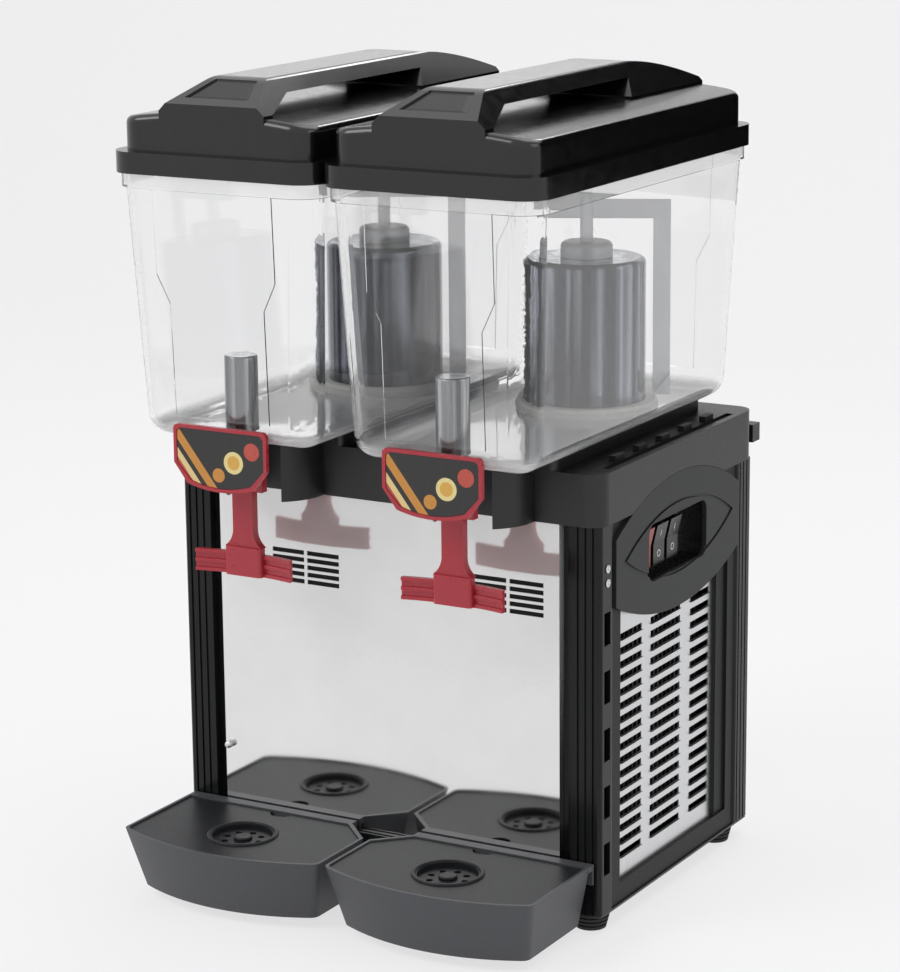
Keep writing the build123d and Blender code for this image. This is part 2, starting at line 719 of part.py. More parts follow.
def rear_spacers():
    """Two blocks on the deck's rear face that keep an air gap to the wall."""
    rear = CABINET_REAR + DECK_REAR_LIP
    top = DECK_TOP - SPACER_DROP
    spacers = []
    for x0 in (-SIDE, SIDE - SPACER_WIDTH):
        spacer = block(x0, x0 + SPACER_WIDTH, rear, rear + SPACER_LENGTH, top - SPACER_HEIGHT, top)
        spacers.append(fillet(spacer.faces().sort_by(Axis.Y)[-1].edges(), SPACER_EDGE))
    return spacers


def tap_slot(hand):
    """Open front slot in which the spout and the lever hang."""
    rear = CABINET_FRONT - DECK_LIP
    front = CABINET_FRONT - COLLAR_SETOUT - COLLAR_RADIUS - TAP_SLOT_CORNER
    depth = rear - front
    middle = (rear + front) / 2
    slot = plan(TAP_SLOT, depth, TAP_SLOT_CORNER, middle, DECK_LOW, BOWL_SEAT)
    return at_bowl(slot, hand)


def catches(hand):
    """Row of raised stops along the side channel."""
    inner = DECK_SIDE - CHANNEL_INSET - CHANNEL_WIDTH
    first = CABINET_FRONT + 2 * POST_DEPTH
    step = (FRAME_REAR - first) / CATCH_COUNT
    stops = []
    for n in range(CATCH_COUNT):
        y = first + n * step
        x0 = hand * (inner - CATCH_WIDTH / 2) - CATCH_WIDTH / 2
        stops.append(block(x0, x0 + CATCH_WIDTH, y, y + CATCH_LENGTH, DECK_TOP, DECK_TOP + CATCH_HEIGHT))
    return stops


# Bowl with its spout, on the middle plane
def bowl_body(grow, low, high):
    """Drafted tub between two heights, grown or shrunk sideways by one amount."""
    top_width = BOWL_WIDTH - 2 * RIM_STEP + 2 * grow
    top_depth = BOWL_DEPTH - 2 * RIM_STEP + 2 * grow
    sections = []
    for z in (low, high):
        inset = BOWL_DRAFT * (RIM_TOP - z) / BOWL_HEIGHT
        outline = RectangleRounded(top_width - 2 * inset, top_depth - 2 * inset, BOWL_CORNER + grow)
        sections.append(Pos(0, BOWL_Y, z) * outline)
    return loft(sections, ruled=True)


def flute_panel():
    """Raised panel on the front and rear walls, narrower below a step on each side."""
    wide = FLUTE_WIDE / 2
    narrow = FLUTE_NARROW / 2
    low = BOWL_SEAT + BOWL_BOTTOM_RADIUS
    high = RIM_TOP - RIM_HEIGHT
    step_low = BOWL_SEAT + FLUTE_STEP_LOW
    step_high = BOWL_SEAT + FLUTE_STEP_HIGH
    outline = Polyline((-narrow, low), (narrow, low), (narrow, step_low), (wide, step_high), (wide, high),
                       (-wide, high), (-wide, step_high), (-narrow, step_low), close=True)
    prism = Pos(0, BOWL_Y, 0) * extrude(Plane.XZ * make_face(outline), BOWL_DEPTH, both=True)
    return prism & bowl_body(FLUTE_RAISE, low, high)


def spout():
    """Boss under the bowl's nose, with a nozzle in front of the outlet."""
    low = DECK_TOP - SPOUT_DROP
    nozzle_y = TAP_Y - NOZZLE_OFFSET
    nozzle_low = low - NOZZLE_DROP
    nozzle_top = nozzle_low + NOZZLE_HEIGHT
    body = rod(0, TAP_Y, low, BOWL_SEAT, SPOUT_DIAMETER)
    body += rod(0, nozzle_y, nozzle_low, nozzle_top, NOZZLE_DIAMETER)
    half = NOZZLE_DIAMETER / 2
    return body + block(-half, half, nozzle_y, TAP_Y, low, nozzle_top)


def spout_bores():
    low = DECK_TOP - SPOUT_DROP + BOWL_FLOOR
    nozzle_y = TAP_Y - NOZZLE_OFFSET
    half = NOZZLE_BORE / 2
    outlet = rod(0, TAP_Y, low, FLOOR_TOP + BOWL_WALL, OUTLET_DIAMETER)
    drop = rod(0, nozzle_y, low - SPOUT_DROP, low + half, NOZZLE_BORE)
    passage = block(-half, half, nozzle_y, TAP_Y, low, low + half)
    pivot = cross_rod(-SPOUT_DIAMETER, SPOUT_DIAMETER, TAP_Y, PIVOT_Z, PIN_DIAMETER + 2 * RUNNING_FIT)
    return [outlet, drop, passage, pivot]


def bowl():
    tub = bowl_body(0, BOWL_SEAT, RIM_TOP)
    tub = fillet(tub.faces().sort_by(Axis.Z)[0].edges(), BOWL_BOTTOM_RADIUS)
    tub += flute_panel()
    tub += plan(BOWL_WIDTH, BOWL_DEPTH, BOWL_CORNER + RIM_STEP, BOWL_Y, RIM_TOP - RIM_HEIGHT, RIM_TOP)
    inside = bowl_body(-BOWL_WALL, FLOOR_TOP, RIM_TOP)
    inside = fillet(inside.faces().sort_by(Axis.Z)[0].edges(), BOWL_BOTTOM_RADIUS - 1.4 * BOWL_WALL)
    tub = tub - inside + spout()
    tub -= rod(0, EVAPORATOR_Y, BOWL_SEAT, FLOOR_TOP, seal_bore() + 2 * SEAL_WIDTH)
    return tub - spout_bores()


def seal_bore():
    return EVAPORATOR_DIAMETER + 2 * FIT


def bowl_seal():
    """Grommet in the floor of the bowl, whose bore wipes the evaporator."""
    outer = seal_bore() + 2 * SEAL_WIDTH
    ring = rod(0, EVAPORATOR_Y, BOWL_SEAT, FLOOR_TOP, outer)
    lip = rod(0, EVAPORATOR_Y, FLOOR_TOP, FLOOR_TOP + SEAL_LIP_HEIGHT, outer + 2 * SEAL_LIP)
    lip = chamfer(lip.edges().group_by(Axis.Z)[-1], SEAL_LIP / 2)
    return ring + lip - rod(0, EVAPORATOR_Y, BOWL_SEAT, FLOOR_TOP + SEAL_LIP_HEIGHT, seal_bore())


# Lid, on the middle plane
LID_WIDTH = BOWL_WIDTH + 2 * (LID_SKIRT + LID_CLEARANCE)
LID_DEPTH = BOWL_DEPTH + 2 * (LID_SKIRT + LID_CLEARANCE)
LID_TOP = RIM_TOP + LID_PLATE
CROWN_WIDTH = LID_WIDTH - 2 * LID_STEP
CROWN_DEPTH = LID_DEPTH - 2 * LID_STEP
CROWN_FRONT = BOWL_Y - CROWN_DEPTH / 2
CROWN_REAR = BOWL_Y + CROWN_DEPTH / 2
LID_ROOF = LID_TOP + LID_EDGE_RISE + LID_BOW
KNEE_Y = CROWN_FRONT + GRIP_KNEE
GAP_REAR_Y = CROWN_FRONT + GAP_END


def lid_body(shrink):
    """Low body of the lid, with a bowed roof and rounded upper edges."""
    width = CROWN_WIDTH - 2 * shrink
    depth = CROWN_DEPTH - 2 * shrink
    edge = LID_TOP + LID_EDGE_RISE - shrink
    half = width / 2
    roof = Curve() + [
        ThreePointArc((-half, edge), (0, LID_ROOF - shrink), (half, edge)),
        Line((half, edge), (half, RIM_TOP)),
        Line((half, RIM_TOP), (-half, RIM_TOP)),
        Line((-half, RIM_TOP), (-half, edge)),
    ]
    body = Pos(0, BOWL_Y, 0) * extrude(Plane.XZ * make_face(roof), LID_DEPTH, both=True)
    body &= plan(width, depth, LID_CORNER - shrink, BOWL_Y, RIM_TOP, LID_ROOF)
    return fillet(body.faces().sort_by(Axis.Z)[-1].edges(), LID_EDGE_RADIUS - shrink)


def grip_block(inset):
    """Filled grip with leaning flanks: front slope, long crest and a tail that falls to the rear wall."""
    front = CROWN_FRONT + inset
    rear = CROWN_REAR - inset
    foot = LID_TOP + GRIP_FOOT_RISE - inset
    top = LID_TOP + GRIP_RISE - inset
    tail = LID_TOP + GRIP_TAIL_RISE - inset
    crest_end = CROWN_FRONT + GRIP_CREST_END
    side = Curve() + [
        Line((front, LID_TOP), (front, foot)),
        Line((front, foot), (KNEE_Y, top)),
        Line((KNEE_Y, top), (crest_end, top)),
        TangentArc((crest_end, top), (rear, tail), tangent=(1, 0)),
        Line((rear, tail), (rear, LID_TOP)),
        Line((rear, LID_TOP), (front, LID_TOP)),
    ]
    side = make_face(side)
    side = fillet(side.vertices().group_by(Axis.Y)[-1].sort_by(Axis.X)[0], GRIP_BEND)
    base = GRIP_WIDTH / 2 - inset
    crest = GRIP_TOP_WIDTH / 2 - inset
    across = make_face(Polyline((-base, LID_TOP), (-base, LID_ROOF - inset), (-crest, top), (crest, top),
                                (base, LID_ROOF - inset), (base, LID_TOP), close=True))
    across = fillet(across.vertices().group_by(Axis.Y)[-1], GRIP_EDGE)
    grip = extrude(Plane.YZ * side, GRIP_WIDTH, both=True)
    return grip & Pos(0, BOWL_Y, 0) * extrude(Plane.XZ * across, LID_DEPTH, both=True)


def finger_gap():
    """Space for the fingers between the roof and the grip, open on both sides, with a ramp at its rear."""
    under = LID_TOP + GRIP_RISE - GRIP_THICKNESS
    front = CROWN_FRONT + GAP_START
    gap = make_face(Polyline((front, LID_TOP), (front, LID_ROOF), (KNEE_Y + GAP_BEND, under),
                             (GAP_REAR_Y + GAP_RAMP, under), (GAP_REAR_Y, LID_ROOF), (GAP_REAR_Y, LID_TOP),
                             close=True))
    return extrude(Plane.YZ * gap, LID_WIDTH, both=True)


def grip_hollow(start, end):
    """Inside of the grip between two places along the lid."""
    return grip_block(LID_WALL) & block(-GRIP_WIDTH, GRIP_WIDTH, start, end, LID_TOP, LID_TOP + GRIP_RISE)


def label_recess():
    """Shallow recess in the front slope of the grip, narrower towards the crest."""
    low = CROWN_FRONT + LABEL_RECESS_FRONT
    high = low + LABEL_RECESS_LENGTH
    wide = LABEL_RECESS_WIDTH / 2
    narrow = LABEL_RECESS_TOP_WIDTH / 2
    outline = make_face(Polyline((-wide, low), (wide, low), (narrow, high), (-narrow, high), close=True))
    prism = Pos(0, 0, LID_ROOF) * extrude(outline, GRIP_RISE)
    return prism - Pos(0, 0, -LABEL_RECESS_DEPTH) * grip_block(0)


def lid():
    flange = plan(LID_WIDTH, LID_DEPTH, BOWL_CORNER + RIM_STEP, BOWL_Y, RIM_TOP - LID_DROP, LID_TOP)
    mouth = plan(BOWL_WIDTH + 2 * LID_CLEARANCE, BOWL_DEPTH + 2 * LID_CLEARANCE, BOWL_CORNER + RIM_STEP,
                 BOWL_Y, RIM_TOP - LID_DROP, RIM_TOP)
    body = lid_body(0)
    solid = flange - mouth + body + grip_block(0)
    solid -= finger_gap() - body
    solid -= grip_hollow(KNEE_Y, GAP_REAR_Y) - body
    solid -= grip_hollow(GAP_REAR_Y + GAP_RAMP + LID_WALL, CROWN_REAR)
    solid -= label_recess()
    return solid - lid_body(LID_WALL)


# Tap: lever, card, pin, piston and seal, on the middle plane
def plate_outline(inset):
    """Shield outline of the card plate, seen from the front."""
    half = PLATE_WIDTH / 2 - inset
    neck = PLATE_NECK / 2 - inset
    top = PIVOT_Z + PLATE_TOP - inset
    shoulder = PIVOT_Z + PLATE_SHOULDER
    bottom = PIVOT_Z - PLATE_BOTTOM + inset
    drop = PLATE_CORNER
    shield = Curve() + [
        Line((-half, top), (half, top)),
        Line((half, top), (half, shoulder)),
        Line((half, shoulder), (neck, bottom + drop)),
        ThreePointArc((neck, bottom + drop), (0, bottom), (-neck, bottom + drop)),
        Line((-neck, bottom + drop), (-half, shoulder)),
        Line((-half, shoulder), (-half, top)),
    ]
    face = make_face(shield)
    return fillet(face.vertices().group_by(Axis.Y)[-1], PLATE_CORNER)


PLATE_BACK = CABINET_FRONT - PLATE_SETOUT
PLATE_FACE = PLATE_BACK - PLATE_THICKNESS
STEM_BACK = TAP_Y + STEM_DEPTH / 2 - STEM_SHIFT
STEM_FACE = STEM_BACK - STEM_DEPTH


def wing(extra, low, high):
    """Bowed strip across the pad, thicker where it is ribbed."""
    half = WING_SPAN / 2
    back = STEM_BACK
    face = back - WING_THICKNESS - extra
    strip = Curve() + [
        ThreePointArc((-half, back - WING_SWEEP), (0, back), (half, back - WING_SWEEP)),
        Line((half, back - WING_SWEEP), (half, face - WING_SWEEP)),
        ThreePointArc((half, face - WING_SWEEP), (0, face), (-half, face - WING_SWEEP)),
        Line((-half, face - WING_SWEEP), (-half, back - WING_SWEEP)),
    ]
    return Pos(0, 0, low) * extrude(make_face(strip), high - low)


def pad():
    top = PIVOT_Z - PAD_TOP
    middle = STEM_BACK - PAD_DEPTH / 2
    body = plan(PAD_WIDTH, PAD_DEPTH, PAD_DEPTH / 3, middle, top - PAD_HEIGHT, top)
    wing_top = PIVOT_Z - WING_TOP
    body += wing(0, wing_top - WING_HEIGHT, wing_top)
    step = (WING_HEIGHT - WING_RIB_HEIGHT) / (WING_RIBS - 1)
    for n in range(WING_RIBS):
        low = wing_top - WING_HEIGHT + n * step
        body += wing(WING_RIB_DEPTH, low, low + WING_RIB_HEIGHT)
    return body


def lever():
    """Red push lever: framed plate, two arms round the spout, stem and pad."""
    plate = Pos(0, PLATE_BACK, 0) * extrude(Plane.XZ * plate_outline(0), PLATE_THICKNESS)
    face = PLATE_FACE + PLATE_RIM_DEPTH
    plate -= Pos(0, face, 0) * extrude(Plane.XZ * plate_outline(PLATE_RIM), PLATE_THICKNESS)
    inner = SPOUT_DIAMETER / 2 + ARM_GAP
    outer = inner + LEVER_ARM
    half_height = LEVER_ARM_HEIGHT / 2
    web_top = PIVOT_Z - WEB_DROP
    web_low = web_top - WEB_HEIGHT
    body = plate + pad()
    for x0, x1 in ((-outer, -inner), (inner, outer)):
        arm = block(x0, x1, PLATE_BACK, TAP_Y, PIVOT_Z - half_height, PIVOT_Z + half_height)
        arm += cross_rod(x0, x1, TAP_Y, PIVOT_Z, LEVER_ARM_HEIGHT)
        leg = block(x0, x1, STEM_FACE, STEM_BACK, web_low, PIVOT_Z)
        body += arm + leg
    body += block(-outer, outer, STEM_FACE, STEM_BACK, web_low, web_top)
    body += stem_blade(web_low)
    pin_hole = cross_rod(-outer, outer, TAP_Y, PIVOT_Z, PIN_DIAMETER + 2 * RUNNING_FIT)
    return body - pin_hole


def stem_blade(top):
    """Stem that flares into the pad."""
    half = STEM_WIDTH / 2
    wide = PAD_WIDTH / 2
    flare = PIVOT_Z - STEM_BOTTOM
    low = PIVOT_Z - PAD_TOP
    bend_x = half + (wide - half) * STEM_FLARE_SHARE
    bend_z = (flare + low) / 2 - STEM_FLARE_DROP
    blade = Curve() + [
        Line((-half, top), (half, top)),
        Line((half, top), (half, flare)),
        ThreePointArc((half, flare), (bend_x, bend_z), (wide, low)),
        Line((wide, low), (-wide, low)),
        ThreePointArc((-wide, low), (-bend_x, bend_z), (-half, flare)),
        Line((-half, flare), (-half, top)),
    ]
    return Pos(0, STEM_BACK, 0) * extrude(Plane.XZ * make_face(blade), STEM_DEPTH)


def lever_card():
    """Printed card held inside the rim of the plate."""
    face = PLATE_FACE + PLATE_RIM_DEPTH
    return Pos(0, face, 0) * extrude(Plane.XZ * plate_outline(PLATE_RIM + FIT), CARD_THICKNESS)


def lever_pin():
    """Axle through the spout, with a cam that lifts the piston."""
    reach = SPOUT_DIAMETER / 2 + ARM_GAP + LEVER_ARM
    pin = cross_rod(-reach, reach, TAP_Y, PIVOT_Z, PIN_DIAMETER)
    half = CAM_WIDTH / 2
    rise = PIN_DIAMETER / 2
    return pin + block(-half, half, TAP_Y, TAP_Y + CAM_LENGTH, PIVOT_Z - rise, PIVOT_Z + rise)


def tap_piston():
    """Bright steel sleeve that closes the outlet by its weight."""
    low = FLOOR_TOP + SEAT_GAP + SEAT_HEIGHT
    foot_low = PIVOT_Z + PIN_DIAMETER / 2 + FIT
    sleeve = rod(0, TAP_Y, low, low + PISTON_HEIGHT, PISTON_DIAMETER)
    sleeve = fillet(sleeve.edges().group_by(Axis.Z)[-1], PISTON_WALL)
    bore = PISTON_DIAMETER - 2 * PISTON_WALL
    sleeve -= rod(0, TAP_Y, low + PISTON_WALL, low + PISTON_HEIGHT - PISTON_WALL, bore)
    sleeve += rod(0, TAP_Y, foot_low, low, PISTON_STEM)
    return sleeve + rod(0, TAP_Y, foot_low, foot_low + PISTON_FOOT_HEIGHT, PISTON_FOOT)


def piston_seal():
    low = FLOOR_TOP + SEAT_GAP
    ring = rod(0, TAP_Y, low, low + SEAT_HEIGHT, SEAT_DIAMETER)
    return ring - rod(0, TAP_Y, low, low + SEAT_HEIGHT, PISTON_STEM + 2 * RUNNING_FIT)


# Evaporator drive, on the middle plane
def evaporator():
    """Steel cylinder round the cooling coil, with the guide of the drive shaft in its middle."""
    drum = rod(0, EVAPORATOR_Y, DECK_TOP, EVAPORATOR_TOP, EVAPORATOR_DIAMETER)
    drum = fillet(drum.edges().group_by(Axis.Z)[-1], EVAPORATOR_EDGE)
    inside = EVAPORATOR_TOP - 2 * EVAPORATOR_WALL
    drum -= rod(0, EVAPORATOR_Y, DECK_TOP, inside, EVAPORATOR_DIAMETER - 2 * EVAPORATOR_WALL)
    drum += rod(0, EVAPORATOR_Y, GEARBOX_TOP, inside, GUIDE_DIAMETER)
    drum += rod(0, EVAPORATOR_Y, GEARBOX_TOP, DECK_TOP, SPIGOT_DIAMETER)
    return drum - rod(0, EVAPORATOR_Y, GEARBOX_TOP, EVAPORATOR_TOP, SHAFT_DIAMETER + 2 * RUNNING_FIT)


def drive_shaft():
    return rod(0, EVAPORATOR_Y, GEARBOX_TOP - SHAFT_BELOW, EVAPORATOR_TOP + SHAFT_ABOVE, SHAFT_DIAMETER)


def gear_motor():
    half_x = GEARBOX_WIDTH / 2
    half_y = GEARBOX_DEPTH / 2
    top = GEARBOX_TOP - FIT
    low = top - GEARBOX_HEIGHT
    body = block(-half_x, half_x, EVAPORATOR_Y - half_y, EVAPORATOR_Y + half_y, low, top)
    body = fillet(body.edges().filter_by(Axis.Z), GEARBOX_PILLAR)
    body += rod(0, EVAPORATOR_Y, low - MOTOR_LENGTH, low, MOTOR_DIAMETER)
    inset = GEARBOX_PILLAR + PILLAR_EDGE
    for x in (-half_x + inset, half_x - inset):
        for y in (EVAPORATOR_Y - half_y + inset, EVAPORATOR_Y + half_y - inset):
            body += rod(x, y, top, PLATE_UNDER, 2 * GEARBOX_PILLAR)
    bore_low = GEARBOX_TOP - SHAFT_BELOW
    return body - rod(0, EVAPORATOR_Y, bore_low, top, SHAFT_DIAMETER + 2 * RUNNING_FIT)


def agitator():
    """Clear paddle stirrer: hub on the shaft, stem, arm and one long blade."""
    hub_low = EVAPORATOR_TOP + FIT
    stem_low = hub_low + HUB_HEIGHT
    stem_top = stem_low + STEM_LENGTH
    hub = rod(0, 0, hub_low, stem_low, HUB_DIAMETER)
    hub = fillet(hub.edges().group_by(Axis.Z)[-1], HUB_HEIGHT / 3)
    body = hub + rod(0, 0, stem_low, stem_top, STEM_DIAMETER)
    inner = EVAPORATOR_DIAMETER / 2 + PADDLE_GAP
    outer = inner + PADDLE_WIDTH
    half_arm = ARM_THICKNESS / 2
    body += block(-COUNTER_ARM, outer, -half_arm, half_arm, stem_top - ARM_HEIGHT, stem_top)
    half = PADDLE_THICKNESS / 2
    low = FLOOR_TOP + PADDLE_CLEARANCE
    blade = make_face(Polyline((inner, stem_top), (outer, stem_top), (outer, low + 3 * PADDLE_FOOT),
                               (outer, low), (inner, low), (inner, stem_top), close=False))
    body += Pos(0, half, 0) * extrude(Plane.XZ * blade, PADDLE_THICKNESS)
    foot = make_face(Polyline((inner, low), (outer, low), (outer, low + 2 * PADDLE_FOOT), close=True))
    body += extrude(Plane.XZ * foot, PADDLE_FOOT)
    body -= rod(0, 0, hub_low, EVAPORATOR_TOP + SHAFT_ABOVE + FIT, SHAFT_DIAMETER + 2 * RUNNING_FIT)
    return Pos(0, EVAPORATOR_Y, 0) * Rot(0, 0, PADDLE_ANGLE) * body


# Drip tray and cover, right hand
TRAY_IN = TRAY_GAP / 2
TRAY_OUT = SIDE - TRAY_SIDE_INSET
TRAY_REAR = CABINET_FRONT - TRAY_REAR_GAP
TRAY_NOSE = CABINET_FRONT - TRAY_FRONT


def tray_outline(inset, side_taper, front_taper):
    """Plan of the tray: bowed front, rear inner corner cut off."""
    left = TRAY_IN + inset + side_taper
    right = TRAY_OUT - inset - side_taper
    middle = (left + right) / 2
    rear = TRAY_REAR - inset
    nose = TRAY_NOSE + inset + front_taper
    corner = nose + TRAY_BOW
    cut = TRAY_CHAMFER
    outline = Curve() + [
        Line((left, rear - cut), (left, corner)),
        ThreePointArc((left, corner), (middle, nose), (right, corner)),
        Line((right, corner), (right, rear)),
        Line((right, rear), (left + cut, rear)),
        Line((left + cut, rear), (left, rear - cut)),
    ]
    face = make_face(outline)
    return fillet(face.vertices().group_by(Axis.Y)[0], TRAY_CORNER)


def tray_hull(inset, low, high):
    """Tray form between two heights, narrowing to its bottom."""
    sections = []
    for z in (low, high):
        share = (TRAY_TOP - z) / (TRAY_TOP - TRAY_BOTTOM)
        face = tray_outline(inset, TRAY_SIDE_TAPER * share, TRAY_FRONT_TAPER * share)
        sections.append(Pos(0, 0, z) * face)
    return loft(sections, ruled=True)


def drip_tray():
    hull = tray_hull(0, TRAY_BOTTOM, TRAY_TOP)
    cover_low = TRAY_TOP - COVER_DROP - COVER_THICKNESS
    mouth = Pos(0, 0, cover_low) * extrude(tray_outline(TRAY_WALL, 0, 0), TRAY_TOP - cover_low)
    ledge_low = cover_low - LEDGE_HEIGHT
    throat = tray_hull(TRAY_WALL + LEDGE_WIDTH, ledge_low, cover_low)
    well = tray_hull(TRAY_WALL, TRAY_BOTTOM + TRAY_WALL, ledge_low)
    hull = hull - mouth - throat - well
    x0 = TRAY_IN + TRAY_CHAMFER
    lip_y = CABINET_FRONT - HANGER_SHEET - FIT
    hull += block(x0, TRAY_OUT, TRAY_REAR - TRAY_WALL, lip_y, TRAY_TOP - 2 * TRAY_WALL, TRAY_TOP)
    return hull + block(x0, TRAY_OUT, lip_y - TRAY_LIP, lip_y, TRAY_TOP - TRAY_LIP_DROP, TRAY_TOP)


def tray_cover():
    low = TRAY_TOP - COVER_DROP - COVER_THICKNESS
    top = TRAY_TOP - COVER_DROP
    cover = Pos(0, 0, low) * extrude(tray_outline(TRAY_WALL + COVER_GAP, 0, 0), COVER_THICKNESS)
    x = BOWL_PITCH / 2
    y = CABINET_FRONT - ROSETTE_SETOUT
    cup_low = low - ROSETTE_DEPTH
    cover += rod(x, y, cup_low, low, ROSETTE_DIAMETER)
    cover -= rod(x, y, cup_low + COVER_THICKNESS, top, ROSETTE_DIAMETER - 2 * COVER_THICKNESS)
    cover += Pos(x, y, top) * Torus(ROSETTE_DIAMETER / 2, ROSETTE_BEAD)
    boss = rod(x, y, cup_low, top - COVER_THICKNESS / 3, BOSS_DIAMETER)
    cover += fillet(boss.edges().group_by(Axis.Z)[-1], COVER_THICKNESS / 2)
    for n in range(DRAIN_COUNT):
        turn = radians(360.0 / DRAIN_COUNT * n)
        drain_x = x + DRAIN_RING / 2 * cos(turn)
        drain_y = y + DRAIN_RING / 2 * sin(turn)
        cover -= rod(drain_x, drain_y, cup_low, top, DRAIN_DIAMETER)
    return cover - rod(x, TRAY_REAR - TRAY_WALL - COVER_GAP, low, top, FINGER_NOTCH)


def tray_hanger():
    """Steel channel on the front panel in which the trays' rear lips hang."""
    half = POST_INNER - FIT
    y1 = CABINET_FRONT
    y0 = y1 - 2 * HANGER_SHEET - HANGER_SLOT
    rail = block(-half, half, y0, y1, HANGER_LOW, HANGER_HIGH)
    return rail - block(-half, half, y0 + HANGER_SHEET, y1 - HANGER_SHEET, HANGER_LOW + HANGER_SHEET, HANGER_HIGH)


# Cooling unit and electrics
COMPRESSOR_Y = CABINET_FRONT + COMPRESSOR_SETBACK
COMPRESSOR_LOW = BASE_TOP + MOUNT_HEIGHT
PORT_TOP = COMPRESSOR_LOW + COMPRESSOR_HEIGHT + PORT_HEIGHT
PORT_X = COMPRESSOR_X + COMPRESSOR_DIAMETER / 5


def around_compressor(shape):
    """One copy of a piece for each mount of the compressor."""
    centre = Pos(COMPRESSOR_X, COMPRESSOR_Y, 0)
    return [centre * Rot(0, 0, 90 + 360.0 / MOUNT_COUNT * n) * shape for n in range(MOUNT_COUNT)]


def compressor():
    radius = COMPRESSOR_DIAMETER / 2
    top = COMPRESSOR_LOW + COMPRESSOR_HEIGHT
    body = rod(COMPRESSOR_X, COMPRESSOR_Y, COMPRESSOR_LOW, top, COMPRESSOR_DIAMETER)
    body = fillet(body.edges().group_by(Axis.Z)[-1], COMPRESSOR_HEIGHT / 4)
    half = MOUNT_DIAMETER / 2
    lug = rod(MOUNT_RADIUS, 0, COMPRESSOR_LOW, COMPRESSOR_LOW + LUG_THICKNESS, MOUNT_DIAMETER)
    lug += block(radius / 2, MOUNT_RADIUS, -half, half, COMPRESSOR_LOW, COMPRESSOR_LOW + LUG_THICKNESS)
    body += around_compressor(lug)
    for y in port_rows():
        body += rod(PORT_X, y, COMPRESSOR_LOW + COMPRESSOR_HEIGHT / 2, PORT_TOP, PORT_DIAMETER)
    return body


def port_rows():
    return (COMPRESSOR_Y - PORT_SPREAD / 2, COMPRESSOR_Y + PORT_SPREAD / 2)


def compressor_mounts():
    return around_compressor(rod(MOUNT_RADIUS, 0, BASE_TOP, COMPRESSOR_LOW, MOUNT_DIAMETER))


CONDENSER_OUT = FRAME_IN - SHEET - CONDENSER_GAP
CONDENSER_IN = CONDENSER_OUT - CONDENSER_THICKNESS
CONDENSER_START = CABINET_FRONT + CONDENSER_FRONT
CONDENSER_TOP = BASE_TOP + CONDENSER_HEIGHT
FAN_Y = CONDENSER_START + CONDENSER_LENGTH / 2
FAN_Z = BASE_TOP + CONDENSER_HEIGHT / 2
SHROUD_IN = CONDENSER_IN - SHROUD_DEPTH


def condenser():
    """Finned coil: a block whose two faces are cut into upright fins."""
    end = CONDENSER_START + CONDENSER_LENGTH
    coil = block(CONDENSER_IN, CONDENSER_OUT, CONDENSER_START, end, BASE_TOP, CONDENSER_TOP)
    pitch = CONDENSER_LENGTH / FIN_COUNT
    gap = pitch * FIN_GAP_SHARE
    cuts = []
    for n in range(FIN_COUNT):
        y = CONDENSER_START + n * pitch + (pitch - gap) / 2
        cuts.append(block(CONDENSER_OUT - FIN_DEPTH, CONDENSER_OUT, y, y + gap, BASE_TOP, CONDENSER_TOP))
    return coil - cuts


def fan_shroud():
    end = CONDENSER_START + CONDENSER_LENGTH
    plate = block(SHROUD_IN, CONDENSER_IN, CONDENSER_START, end, BASE_TOP, CONDENSER_TOP)
    hollow = SHROUD_IN + SHROUD_PLATE
    rim = SHROUD_PLATE
    plate -= block(hollow, CONDENSER_IN, CONDENSER_START + rim, end - rim, BASE_TOP + rim, CONDENSER_TOP - rim)
    return plate - cross_rod(SHROUD_IN, CONDENSER_IN, FAN_Y, FAN_Z, FAN_DIAMETER + 2 * FAN_CLEARANCE)


FAN_HUB_OUT = SHROUD_IN - FAN_GAP + FAN_HUB_LENGTH
FAN_HUB_IN = FAN_HUB_OUT - FAN_HUB_LENGTH
FAN_MOTOR_OUT = FAN_HUB_IN - FIT
FAN_MOTOR_IN = FAN_MOTOR_OUT - FAN_MOTOR_LENGTH


def fan_motor():
    """Motor on a bracket across the shroud, with its spindle in the fan."""
    body = cross_rod(FAN_MOTOR_IN, FAN_MOTOR_OUT, FAN_Y, FAN_Z, FAN_MOTOR_DIAMETER)
    body += cross_rod(FAN_MOTOR_OUT, FAN_HUB_OUT - FIT, FAN_Y, FAN_Z, FAN_SPINDLE)
    half = BRACKET_WIDTH / 2
    reach = FAN_DIAMETER / 2 + 2 * BRACKET_WIDTH
    x0 = FAN_MOTOR_IN - SHROUD_PLATE
    body += block(x0, FAN_MOTOR_IN, FAN_Y - half, FAN_Y + half, FAN_Z - reach, FAN_Z + reach)
    for z in (FAN_Z - reach, FAN_Z + reach - SHROUD_PLATE):
        body += block(x0, SHROUD_IN, FAN_Y - half, FAN_Y + half, z, z + SHROUD_PLATE)
    return body


